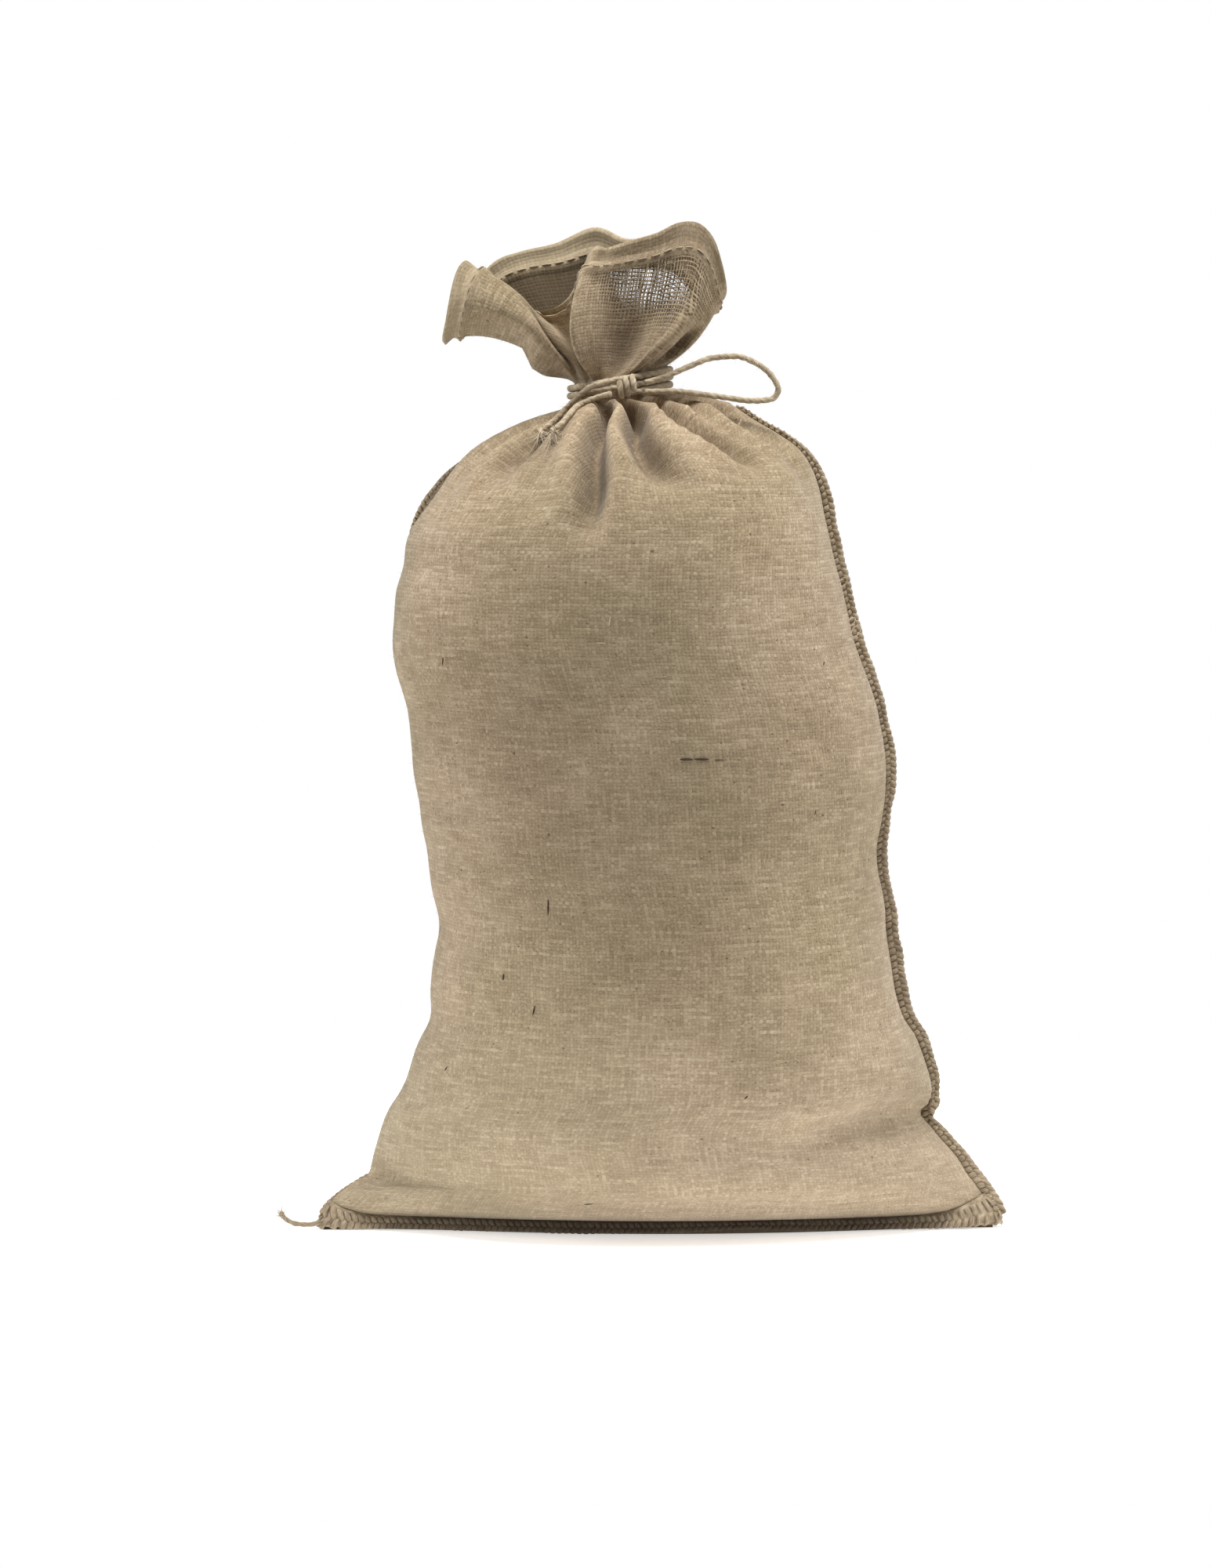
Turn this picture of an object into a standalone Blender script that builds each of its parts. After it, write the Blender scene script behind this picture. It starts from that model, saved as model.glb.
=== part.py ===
"""Burlap sack: one tube of hessian, filled, gathered and tied at the neck.

The sack stands on the floor (z = 0) with its bottom seam along the front of its
foot. +X is its right-hand side, -Y its front and +Z is up. The origin is the
bottom centre of its bounding box. Tables are in millimetres.

Places on the cloth are given by two numbers. "around" is the part of a turn seen
from above: 0 is the right side, 0.25 the back, 0.5 the left side, 0.75 the front.
"level" is the height in the body, and goes on up the cloth of the mouth.
"""
from collections import namedtuple
from math import pi

import bpy
import numpy as np
from mathutils import Vector
from mathutils.bvhtree import BVHTree

MM = 0.001
GAP = 0.4                    # air between two pieces that lie on each other
COLUMNS = 76                 # facets round the cloth
COLUMN_CENTRE = 0.68         # the facets are closest together here, at the pleats
COLUMN_BUNCHING = 0.38       # 0 spaces them evenly
BODY_RINGS = 36
FOOT_ROWS = 3                # sections at the foot that have a ring each
BOX_CENTRE = (-9.65, -4.58)   # bounding box centre, which becomes the origin

TWINE = 4.0                  # diameter
TWINE_FACETS = 2             # rounding of its section
LOOP_STEPS = 26              # straight lengths in the loop
END_STEPS = 14
WRAP_TURNS = 2.5
WRAP_STEPS = 26              # straight lengths in one turn
WRAP_PITCH = 4.5
WRAP_FOOT = 511.0            # height of the lowest turn at the front
KNOT_CENTRE = (-20.0, -35.6, 516.0)
KNOT_SIZE = (15.0, 10.5, 12.5)
KNOT_RIDGE = 0.14            # how far its strands stand out, as a part of its radius
KNOT_STRANDS = 3             # turns of twine side by side
KNOT_RINGS = 13
KNOT_SIDES = 18

CLOTH_WALL = 1.5             # the open mouth, one thickness of cloth
HEM_DEPTH = 16.0             # width of the turned hem
HEM_SWELL = 0.7              # how far the folded hem stands out
MOUTH_LENGTH = 100.0         # cloth above the tie
MOUTH_RINGS = 12
CROWDED_RINGS = 6            # mouth rings whose folds are eased on the inside
EASE_PASSES = 3
CUP_POINT = (-41.0, 0.0, 522.0)          # where the gathers close the inside

SEAM_REACH = 9.0             # how far a sewn edge stands out
SEAM_THICK = 3.2
STITCH_DENT = 0.28           # how much thinner a seam is between two stitches
STITCH_DRAW = 0.10           # how much narrower it is there
SEAM_START = 0.5             # its width at the top end, as a part of its full reach
SEAM_GROWTH = 4              # sections over which it grows to that
SKIRT_LEVEL = 4.0            # height at which the bottom seam follows the cloth
SKIRT_TOP = 7.9
SKIRT_FOOT = 0.15            # the stitches keep this far off the floor
CLEARING_PASSES = 6          # rounds of moving a seam clear of the cloth it lies on
STITCH_PITCH = 12.0

# The filled body, from the floor to the foot of the neck. left, right, front and
# back are its reach from the middle; corner is 1 for round sides and 2 for sides
# drawn to a point at the seams; lean is how much higher its right side is.
Section = namedtuple("Section", "level left right front back corner lean")
SECTIONS = [
    Section(0.0, 206, 205, 40, 66, 2.3, 0),
    Section(8.3, 206, 205, 40, 72, 2.3, 0),
    Section(9.5, 206, 205, 52, 76, 2.2, 0),
    Section(15, 203, 202, 74, 86, 1.9, 0),
    Section(27, 189, 193, 94, 98, 1.6, 0),
    Section(32, 179, 189, 100, 101, 1.5, 0),
    Section(42, 177, 183, 107, 107, 1.4, 0),
    Section(70, 168, 162, 118, 114, 1.2, 0),
    Section(88, 158, 167, 123, 118, 1.12, 0),
    Section(115, 149, 158, 129, 121, 1.06, 0),
    Section(132, 141, 148, 132, 123, 1, 0),
    Section(190, 136, 139, 136, 127, 1, 0),
    Section(228, 142, 134, 136, 127, 1, 0),
    Section(273, 150, 139, 134, 127, 1, 0),
    Section(316, 154, 134, 133, 126, 1, 0),
    Section(361, 163, 119, 131, 124, 1, 0),
    Section(412, 156, 107, 125, 117, 1, 0),
    Section(453, 135, 97, 108, 101, 1, 0),
    Section(476, 115, 85, 90, 84, 1, 0),
    Section(494, 84, 56, 64, 60, 1, 2),
    Section(503.5, 60, 38, 42, 39, 1, 6),
    Section(508, 52, 4, 24.5, 24.5, 1, 9),
    Section(515, 52, 4, 24.5, 24.5, 1, 9.5),
    Section(522.5, 52, 4, 24.5, 24.5, 1, 10),
]
NECK_TOP = SECTIONS[-1].level

# The mouth, one row for each fold of the cloth above the tie: the middle of the
# fold and its rim, as points.
Rib = namedtuple("Rib", "around mid_x mid_y mid_z rim_x rim_y rim_z")
RIBS = [
    Rib(0.020, 13, 24, 549, 27, 28, 585),
    Rib(0.080, 2, 26, 555, 15, 27, 603),
    Rib(0.150, -11, 20, 557, -1, 20, 606),
    Rib(0.220, -24, 30, 558, -20, 30, 605),
    Rib(0.290, -38, 32, 558, -40, 38, 612),
    Rib(0.350, -53, 24, 558, -64, 32, 602),
    Rib(0.400, -67, 20, 557, -85, 30, 597),
    Rib(0.440, -79, 20, 554, -102, 27, 590),
    Rib(0.470, -87, 16, 548, -116, 24, 572),
    Rib(0.500, -94, 2, 543, -131, 6, 543),
    Rib(0.535, -89, -28, 555, -128, -16, 562),
    Rib(0.570, -80, -22, 566, -119, -14, 590),
    Rib(0.590, -71, -14, 557, -103, -5, 575),
    Rib(0.612, -58, -7, 546, -80, 4, 561),
    Rib(0.633, -50, -18, 548, -55, -8, 568),
    Rib(0.652, -54, -43, 555, -40, -24, 597),
    Rib(0.672, -43, -36, 558, -32, -20, 599),
    Rib(0.700, -27, -20, 558, -19, -13, 603),
    Rib(0.735, -9, -17, 559, -2, -10, 608),
    Rib(0.765, 2, -22, 560, 11, -13, 614),
    Rib(0.795, 11, -35, 560, 23, -20, 614),
    Rib(0.825, 15, -31, 556, 31, -22, 606),
    Rib(0.860, 19, -12, 551, 37, -16, 590),
    Rib(0.905, 24, -3, 546, 39, -2, 574),
    Rib(0.960, 20, 12, 543, 35, 16, 569),
]

# Gathers and creases of the cloth: a valley from top to foot. Its full depth is
# reached half way up, and goes again at the top over a height called ease. bend is
# how late it turns towards its top. A negative depth is a swelling.
Crease = namedtuple("Crease", "around_top around_foot top foot bend width_top width_foot depth ease")
CREASES = [
    Crease(0.675, 0.722, 508, 420, 3, 0.018, 0.010, 18, 3),
    Crease(0.733, 0.803, 508, 440, 1, 0.022, 0.024, 19, 3),
    Crease(0.785, 0.878, 508, 458, 2, 0.020, 0.016, 12, 3),
    Crease(0.600, 0.618, 508, 446, 1, 0.022, 0.026, 12, 3),
    Crease(0.845, 0.925, 508, 462, 1, 0.020, 0.022, 5, 3),
    Crease(0.920, 0.965, 508, 440, 1, 0.026, 0.026, 5, 3),
    Crease(0.560, 0.555, 508, 440, 1, 0.024, 0.024, 5, 3),
    Crease(0.060, 0.070, 508, 420, 1, 0.030, 0.030, 8, 3),
    Crease(0.145, 0.140, 508, 400, 1, 0.030, 0.030, 9, 3),
    Crease(0.235, 0.245, 508, 415, 1, 0.030, 0.030, 9, 3),
    Crease(0.325, 0.325, 508, 395, 1, 0.030, 0.030, 9, 3),
    Crease(0.410, 0.390, 508, 420, 1, 0.030, 0.030, 8, 3),
    Crease(0.480, 0.460, 508, 450, 1, 0.026, 0.026, 4, 3),
    Crease(0.940, 0.880, 96, 56, 1, 0.060, 0.060, 7, 24),
    Crease(0.545, 0.570, 44, 22, 1, 0.050, 0.050, 5, 14),
    Crease(0.505, 0.480, 560, 523, 1, 0.040, 0.040, -8, 12),
]

# The sewn edges: where each side seam runs, from the corner up to the gathers.
SeamPlace = namedtuple("SeamPlace", "level around")
RIGHT_SEAM = [
    SeamPlace(8.8, 0.000),
    SeamPlace(60, 0.006),
    SeamPlace(250, 0.018),
    SeamPlace(430, 0.012),
    SeamPlace(500, 0.020),
]
LEFT_SEAM = [
    SeamPlace(8.8, 0.493),
    SeamPlace(28, 0.455),
    SeamPlace(70, 0.430),
    SeamPlace(160, 0.425),
    SeamPlace(380, 0.438),
    SeamPlace(440, 0.462),
    SeamPlace(500, 0.480),
]
BOTTOM_SEAM_ENDS = (0.514, 0.986)
BOTTOM_SEAM_LIFT = (0.79, 0.03, 2.6)      # where it is off the floor: around, width, height
TAIL_ROUTE = [(-207.5, -1.5, 5.0), (-214, -2.5, 4.4), (-222, -4, 5.2), (-229, -5, 8.4), (-232, -5, 12.2)]
TAIL_RADII = [1.6, 3.2, 2.7, 1.6, 1.6, 1.6, 1.6, 1.6, 1.6]     # from the frayed tip

# Sections of the seams: how far out from the root and how wide each corner is, as
# parts of the reach and of the half thickness. The bottom seam's stands upright.
Corner = namedtuple("Corner", "out wide")
FIN = [Corner(0, -0.45), Corner(0.45, -1), Corner(1, -0.5), Corner(1, 0.5), Corner(0.45, 1), Corner(0, 0.45)]
SKIRT = [Corner(0.25, -1), Corner(0.75, -1), Corner(1, -0.4), Corner(1, 0.4),
         Corner(0.75, 1), Corner(0.25, 1), Corner(0, 0.5), Corner(0, -0.5)]
FINE_STEPS = 400             # places at which a seam's line is read before its stitches are set out

# The free twine, as the points that its centre line passes through.
LOOP_ROUTE = [(-9, -34, 518), (4, -33, 522), (18, -31, 528), (32, -28, 533), (46, -25, 534),
              (58, -23, 530), (68, -21, 522), (72, -21, 514), (68, -22, 508), (56, -24, 507),
              (40, -27, 509), (22, -30, 511.5), (6, -33, 513), (-9, -35.5, 512.5)]
LONG_END_ROUTE = [(-30.5, -35, 518.5), (-38, -31, 517), (-44.5, -26, 514), (-50, -22.5, 508.8),
                  (-55.8, -22, 503.4), (-62, -28.5, 497.2), (-67, -34.5, 492.5), (-72, -38, 488.8)]
SHORT_END_ROUTE = [(-30, -41.5, 511.5), (-36, -36, 509.8), (-41.6, -32.5, 507.8), (-46.8, -33, 505.6),
                   (-50.8, -40, 503.4), (-54.5, -51, 499.4), (-59.3, -61, 494), (-64.4, -65.5, 489.8)]

HESSIAN_COLOUR = (0.40, 0.31, 0.20)
SEAM_COLOUR = (0.22, 0.16, 0.10)
TWINE_COLOUR = (0.42, 0.33, 0.22)


def pass_through(values, places):
    """Smooth curve through equally spaced rows, read at places counted in rows.

    Each stretch is a cubic whose slopes never overshoot the rows beside it.
    """
    values = np.asarray(values, float)
    step = np.diff(values, axis=0)
    slope = np.zeros_like(values)
    slope[0] = step[0]
    slope[-1] = step[-1]
    before, after = step[:-1], step[1:]
    same_way = before * after > 0
    total = np.where(same_way, before + after, 1.0)
    slope[1:-1] = np.where(same_way, 2.0 * before * after / total, 0.0)
    first = np.clip(np.floor(places).astype(int), 0, len(values) - 2)
    part = (places - first)[:, None]
    return ((1 + 2 * part) * (1 - part) ** 2 * values[first] + part * (1 - part) ** 2 * slope[first]
            + part ** 2 * (3 - 2 * part) * values[first + 1] - part ** 2 * (1 - part) * slope[first + 1])


def round_the_turn(knots, values, around):
    """Smooth closed curve through unequally spaced rows, read at parts of a turn.

    Each stretch is a cubic whose slope at a row is that of the chord past it.
    """
    knots = np.asarray(knots, float)
    values = np.asarray(values, float)
    knots = np.concatenate(([knots[-1] - 1], knots, [knots[0] + 1, knots[1] + 1]))
    values = np.concatenate((values[-1:], values, values[:2]))
    slope = (values[2:] - values[:-2]) / (knots[2:] - knots[:-2])[:, None]
    around = (around - knots[1]) % 1.0 + knots[1]
    row = np.clip(np.searchsorted(knots, around, side="right") - 1, 1, len(knots) - 3)
    length = (knots[row + 1] - knots[row])[:, None]
    part = (around[:, None] - knots[row][:, None]) / length
    next_slope = np.concatenate((slope, slope[:1]))[row]
    return ((1 + 2 * part) * (1 - part) ** 2 * values[row]
            + part * (1 - part) ** 2 * slope[row - 1] * length
            + part ** 2 * (3 - 2 * part) * values[row + 1]
            - part ** 2 * (1 - part) * next_slope * length)


def facet_places():
    """Parts of a turn for the columns, closest together at the front pleats."""
    even = np.arange(COLUMNS) / COLUMNS
    return even - COLUMN_BUNCHING / (2 * pi) * np.sin(2 * pi * (even - COLUMN_CENTRE))


def body_rings(around):
    """Rings of the filled body: an oval for each section, its sides drawn to the seams."""
    spread = np.linspace(FOOT_ROWS, len(SECTIONS) - 1, BODY_RINGS - FOOT_ROWS)
    rows = pass_through(SECTIONS, np.concatenate((np.arange(FOOT_ROWS), spread)))
    level, left, right, front, back, corner, lean = [column[:, None] for column in rows.T]
    across = np.cos(2 * pi * around)
    deep = np.sin(2 * pi * around)
    x = (right - left) / 2 + (right + left) / 2 * across
    y = np.where(deep > 0, back, front) * deep * np.abs(deep) ** (corner - 1)
    z = level + lean * across / 2
    return np.stack((x, y, z), axis=-1), level


def mouth_rings(around, neck):
    """Rings of the mouth: each rib is the parabola through its neck, middle and rim."""
    ribs = np.asarray(RIBS, float)
    middle = round_the_turn(ribs[:, 0], ribs[:, 1:4], around)
    rim = round_the_turn(ribs[:, 0], ribs[:, 4:7], around)
    along = (np.arange(MOUTH_RINGS) + 1.0)[:, None, None] / MOUTH_RINGS
    rings = (neck * (1 - along) * (1 - 2 * along) + middle * 4 * along * (1 - along)
             + rim * along * (2 * along - 1))
    return rings, NECK_TOP + MOUTH_LENGTH * along[:, :, 0]


def outward(rings):
    """Unit normals of a stack of closed rings that climb, anticlockwise from above."""
    round_way = np.roll(rings, -1, axis=1) - np.roll(rings, 1, axis=1)
    up_way = np.gradient(rings, axis=0)
    normal = np.cross(round_way, up_way)
    return normal / np.linalg.norm(normal, axis=-1, keepdims=True)


def crease_depth(around, level):
    """Depth of all the creases: a valley with low banks, that grows smoothly from its foot."""
    depth = np.zeros(np.broadcast(around, level).shape)
    for crease in CREASES:
        along = np.clip((level - crease.foot) / (crease.top - crease.foot), 0, 1)
        centre = crease.around_foot + (crease.around_top - crease.around_foot) * along ** crease.bend
        width = crease.width_foot + (crease.width_top - crease.width_foot) * along
        off = ((around - centre + 0.5) % 1.0 - 0.5) / width
        grown = np.clip(2 * along, 0, 1)
        strength = (3 - 2 * grown) * grown ** 2 * np.clip((crease.top - level) / crease.ease, 0, 1)
        depth += crease.depth * strength * (1 - 0.8 * off ** 2) * np.exp(-0.8 * off ** 2)
    return depth


def cloth_surface():
    """Outer surface of the cloth, as rings from the floor to the rim, and their levels."""
    around = facet_places()
    body, body_level = body_rings(around)
    mouth, mouth_level = mouth_rings(around, body[-1])
    rings = np.concatenate((body, mouth))
    level = np.concatenate((body_level, mouth_level))
    hem = np.clip((level - (NECK_TOP + MOUTH_LENGTH - HEM_DEPTH)) / 2.0, 0, 1) * HEM_SWELL
    relief = hem - crease_depth(around[None, :], level)
    return rings + outward(rings) * relief[..., None], level


def new_object(name, mesh, colour):
    """Link a mesh as a node with its own rough cloth material."""
    material = bpy.data.materials.new(name)
    material.use_nodes = True
    shader = material.node_tree.nodes["Principled BSDF"]
    shader.inputs["Base Color"].default_value = (*colour, 1)
    shader.inputs["Roughness"].default_value = 0.9
    mesh.materials.append(material)
    node = bpy.data.objects.new(name, mesh)
    sack_parts.objects.link(node)
    return node


def loft(name, rings, colour):
    """One closed solid through a stack of rings, with a fan at each end."""
    rings = np.asarray(rings, float)
    count, sides = rings.shape[:2]
    ends = np.stack((rings[0].mean(axis=0), rings[-1].mean(axis=0)))
    points = np.concatenate((rings.reshape(-1, 3), ends)) - (*BOX_CENTRE, 0)
    faces = []
    for row in range(count - 1):
        for side in range(sides):
            after = (side + 1) % sides
            low, high = row * sides, (row + 1) * sides
            faces.append((low + side, low + after, high + after, high + side))
    for side in range(sides):
        after = (side + 1) % sides
        faces.append((count * sides, after, side))
        faces.append((count * sides + 1, (count - 1) * sides + side, (count - 1) * sides + after))
    mesh = bpy.data.meshes.new(name)
    mesh.from_pydata((points * MM).tolist(), [], faces)
    mesh.shade_smooth()
    return new_object(name, mesh, colour)


def ease_round(rings):
    """Rings smoothed along their turn."""
    for _ in range(EASE_PASSES):
        rings = (np.roll(rings, 1, axis=1) + 2 * rings + np.roll(rings, -1, axis=1)) / 4
    return rings


def make_cloth(rings):
    """The whole cloth as one solid: the filled body, and the open mouth as a thin wall.

    The inside is one wall in from the outside. Its folds are eased where they crowd
    above the neck, and it closes there in a cup.
    """
    first_open = len(rings) - MOUTH_RINGS
    inward = -ease_round(outward(rings))
    inward /= np.linalg.norm(inward, axis=-1, keepdims=True)
    crowding = np.clip(1 - (np.arange(len(rings)) - first_open) / CROWDED_RINGS, 0, 1)[:, None, None]
    inner = rings + (ease_round(rings) - rings) * crowding + inward * CLOTH_WALL
    climb = rings[-1] - rings[-2]
    climb = climb / np.linalg.norm(climb, axis=-1, keepdims=True)
    lip = (rings[-1] + inner[-1]) / 2 + climb * CLOTH_WALL / 2
    inside = inner[:first_open:-1]
    closing = CUP_POINT + (inside[-1] - CUP_POINT) * 0.05
    return loft("sack_cloth", np.concatenate((rings, lip[None], inside, closing[None])), HESSIAN_COLOUR)


def on_cloth(rings, level, places):
    """Points and outward directions at (level, around) places of the faceted cloth."""
    columns = np.concatenate((facet_places(), [facet_places()[0] + 1]))
    normal = outward(rings)
    points, directions = [], []
    for place_level, place_around in places:
        row = np.interp(place_level, level[:, 0], np.arange(len(level)))
        wrapped = (place_around - columns[0]) % 1.0 + columns[0]
        column = np.interp(wrapped, columns, np.arange(len(columns)))
        low_row, low_column = min(int(row), len(level) - 2), int(column)
        row_part, column_part = row - low_row, column - low_column
        corners = [(low_row, low_column % COLUMNS, (1 - row_part) * (1 - column_part)),
                   (low_row + 1, low_column % COLUMNS, row_part * (1 - column_part)),
                   (low_row, (low_column + 1) % COLUMNS, (1 - row_part) * column_part),
                   (low_row + 1, (low_column + 1) % COLUMNS, row_part * column_part)]
        points.append(sum(rings[r, c] * weight for r, c, weight in corners))
        directions.append(sum(normal[r, c] * weight for r, c, weight in corners))
    directions = np.asarray(directions)
    return np.asarray(points), directions / np.linalg.norm(directions, axis=1, keepdims=True)


def even_steps(points, pitch):
    """Read a line of points again at equal steps of its length, two for each stitch."""
    length = np.concatenate(([0], np.cumsum(np.linalg.norm(np.diff(points, axis=0), axis=1))))
    count = 2 * int(length[-1] / pitch) + 1
    return np.interp(np.linspace(0, length[-1], count), length, np.arange(len(points)))


def fin_rings(root, way, reach):
    """Six-sided sections of a sewn edge that stands out from its root along a way.

    Every other section is a stitch, which is fatter and drawn in a little.
    """
    run = np.gradient(root, axis=0)
    run /= np.linalg.norm(run, axis=1, keepdims=True)
    side = np.cross(run, way)
    side /= np.linalg.norm(side, axis=1, keepdims=True)
    stitch = (np.arange(len(root)) % 2)[:, None]
    half = SEAM_THICK / 2 * (1 - STITCH_DENT * stitch)
    reach = reach * (1 - STITCH_DRAW * stitch)
    return np.stack([root + way * reach * corner.out + side * half * corner.wide for corner in FIN], axis=1)


def clear_of(cloth, sections, ways):
    """Move the sections of a seam out along their ways until they clear the cloth."""
    cloth.data.calc_loop_triangles()
    corners = [vertex.co / MM for vertex in cloth.data.vertices]
    tree = BVHTree.FromPolygons(corners, [tuple(face.vertices) for face in cloth.data.loop_triangles])
    for _ in range(CLEARING_PASSES):
        halfway = (sections[1:] + sections[:-1]) / 2
        short = [0.0] * len(sections)
        for index, section in enumerate(sections):
            near = [section, *halfway[max(index - 1, 0):index + 1]]
            for point in np.concatenate(near) - (*BOX_CENTRE, 0):
                place, normal, _, _ = tree.find_nearest(point)
                height = (Vector(point) - place).dot(normal)
                if height < GAP:
                    short[index] = max(short[index], GAP - height)
        sections = sections + (ways * np.array(short)[:, None])[:, None]
    return sections


def level_ways(ways):
    """Directions made level with the floor."""
    ways = ways * [1, 1, 0]
    return ways / np.linalg.norm(ways, axis=1, keepdims=True)


def make_side_seam(name, cloth, rings, level, places):
    """Whip-stitched selvedges that stand out from the side of the cloth."""
    places = np.asarray(places, float)
    fine = pass_through(places, np.linspace(0, len(places) - 1, FINE_STEPS))
    steps = even_steps(on_cloth(rings, level, fine)[0], STITCH_PITCH)
    stitches = np.stack([np.interp(steps, np.arange(FINE_STEPS), column) for column in fine.T], axis=1)
    points, ways = on_cloth(rings, level, stitches)
    ways = level_ways(ways)
    taper = np.clip(np.arange(len(points))[::-1] / SEAM_GROWTH + SEAM_START, 0, 1)
    sections = fin_rings(points + ways * GAP, ways, SEAM_REACH * taper[:, None])
    return loft(name, clear_of(cloth, sections, ways), SEAM_COLOUR)


def make_bottom_seam(rings, level):
    """The bottom edge: a skirt of stitches along the foot, and the thread's loose tail."""
    lift_around, lift_width, lift_height = BOTTOM_SEAM_LIFT
    fine = np.stack((np.full(FINE_STEPS, SKIRT_LEVEL), np.linspace(*BOTTOM_SEAM_ENDS, FINE_STEPS)), axis=1)
    steps = even_steps(on_cloth(rings, level, fine)[0], STITCH_PITCH)
    around = np.interp(steps, np.arange(FINE_STEPS), fine[:, 1])
    points, ways = on_cloth(rings, level, np.stack((np.full(len(around), SKIRT_LEVEL), around), axis=1))
    ways = level_ways(ways)
    points = points + ways * (GAP + SEAM_THICK / 2)
    stitch = np.arange(len(points)) % 2
    half = SEAM_THICK / 2 * (1 - STITCH_DENT * stitch)
    top = SKIRT_TOP - GAP * stitch
    foot = SKIRT_FOOT + lift_height * np.exp(-((around - lift_around) / lift_width) ** 2)
    sections = np.zeros((len(points), len(SKIRT), 3))
    for number, corner in enumerate(SKIRT):
        sections[:, number] = points + ways * (half * corner.wide)[:, None]
        sections[:, number, 2] = foot + (top - foot) * corner.out
    return loft("bottom_seam", np.concatenate((tail_rings(len(SKIRT)), sections)), SEAM_COLOUR)


def tail_rings(sides):
    """The thread tail, from its frayed tip to the corner of the bottom seam."""
    route = np.asarray(TAIL_ROUTE, float)[::-1]
    steps = len(TAIL_RADII)
    centre = pass_through(route, np.linspace(0, len(route) - 1, steps))
    run = np.gradient(centre, axis=0)
    run /= np.linalg.norm(run, axis=1, keepdims=True)
    side = np.cross(run, (0, 0, 1))
    side /= np.linalg.norm(side, axis=1, keepdims=True)
    up = np.cross(side, run)
    turn = 2 * pi * (np.arange(sides) + 0.5) / sides
    radius = np.asarray(TAIL_RADII)[:, None, None]
    return (centre[:, None] + radius * (-side[:, None] * np.cos(turn)[None, :, None]
                                        + up[:, None] * np.sin(turn)[None, :, None]))


def make_twine(name, route, steps):
    """A length of twine: a round curve along the smooth line through its route."""
    points = pass_through(route, np.linspace(0, len(route) - 1, steps))
    curve = bpy.data.curves.new(name, "CURVE")
    curve.dimensions = "3D"
    curve.bevel_depth = TWINE / 2 * MM
    curve.bevel_resolution = TWINE_FACETS
    curve.use_fill_caps = True
    spline = curve.splines.new("POLY")
    spline.points.add(len(points) - 1)
    points = (points - (*BOX_CENTRE, 0)) * MM
    spline.points.foreach_set("co", np.column_stack((points, np.ones(len(points)))).ravel())
    return new_object(name, curve, TWINE_COLOUR)


def make_wraps():
    """The turns of twine round the neck, side by side, leaning with it."""
    neck = SECTIONS[-2]
    turn = np.linspace(0, WRAP_TURNS, int(WRAP_STEPS * WRAP_TURNS))
    around = 2 * pi * (turn + 0.75)
    grow = TWINE / 2 + GAP
    middle = (neck.right - neck.left) / 2
    half_width = (neck.right + neck.left) / 2
    x = middle + (half_width + grow) * np.cos(around)
    y = (neck.front + grow) * np.sin(around)
    z = WRAP_FOOT + WRAP_PITCH * turn + neck.lean / 2 * np.cos(around)
    return make_twine("tie_wraps", np.stack((x, y, z), axis=1), len(turn))


def make_knot():
    """The knot: a lump of twine turns that climb round it from left to right."""
    turn = 2 * pi * np.arange(KNOT_SIDES) / KNOT_SIDES
    rings = []
    for tilt in np.linspace(-0.46 * pi, 0.46 * pi, KNOT_RINGS):
        place = np.sin(tilt)
        radius = np.cos(tilt) * (1 + KNOT_RIDGE * np.cos(KNOT_STRANDS * pi * place - turn))
        across = np.full(KNOT_SIDES, place)
        rings.append(np.stack((across, radius * np.cos(turn), radius * np.sin(turn)), axis=1))
    size = np.asarray(KNOT_SIZE) / 2
    return loft("tie_knot", np.asarray(KNOT_CENTRE) + np.asarray(rings) * size, TWINE_COLOUR)


for old in list(bpy.data.objects):
    bpy.data.objects.remove(old)
sack_parts = bpy.data.collections.new("burlap_sack")
bpy.context.scene.collection.children.link(sack_parts)

cloth_rings, cloth_levels = cloth_surface()
sack_cloth = make_cloth(cloth_rings)
make_side_seam("side_seam_right", sack_cloth, cloth_rings, cloth_levels, RIGHT_SEAM)
make_side_seam("side_seam_left", sack_cloth, cloth_rings, cloth_levels, LEFT_SEAM)
make_bottom_seam(cloth_rings, cloth_levels)
make_wraps()
make_knot()
make_twine("tie_loop", LOOP_ROUTE, LOOP_STEPS)
make_twine("tie_end_long", LONG_END_ROUTE, END_STEPS)
make_twine("tie_end_short", SHORT_END_ROUTE, END_STEPS)
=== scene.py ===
"""Burlap sack: hessian sewn along three edges, filled, gathered and tied with jute twine.

Tables are in millimetres, measured from the middle of the sack's foot at floor
level. +X is the sack's right-hand side, -Y its front and +Z is up. Places on the
cloth are given by two numbers. "around" is the part of a turn seen from above: 0 is
the right side, 0.25 the back, 0.5 the left side, 0.75 the front. "level" is the
height in the body, and goes on up the cloth of the mouth.
"""
from collections import namedtuple
from math import pi, radians

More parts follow.
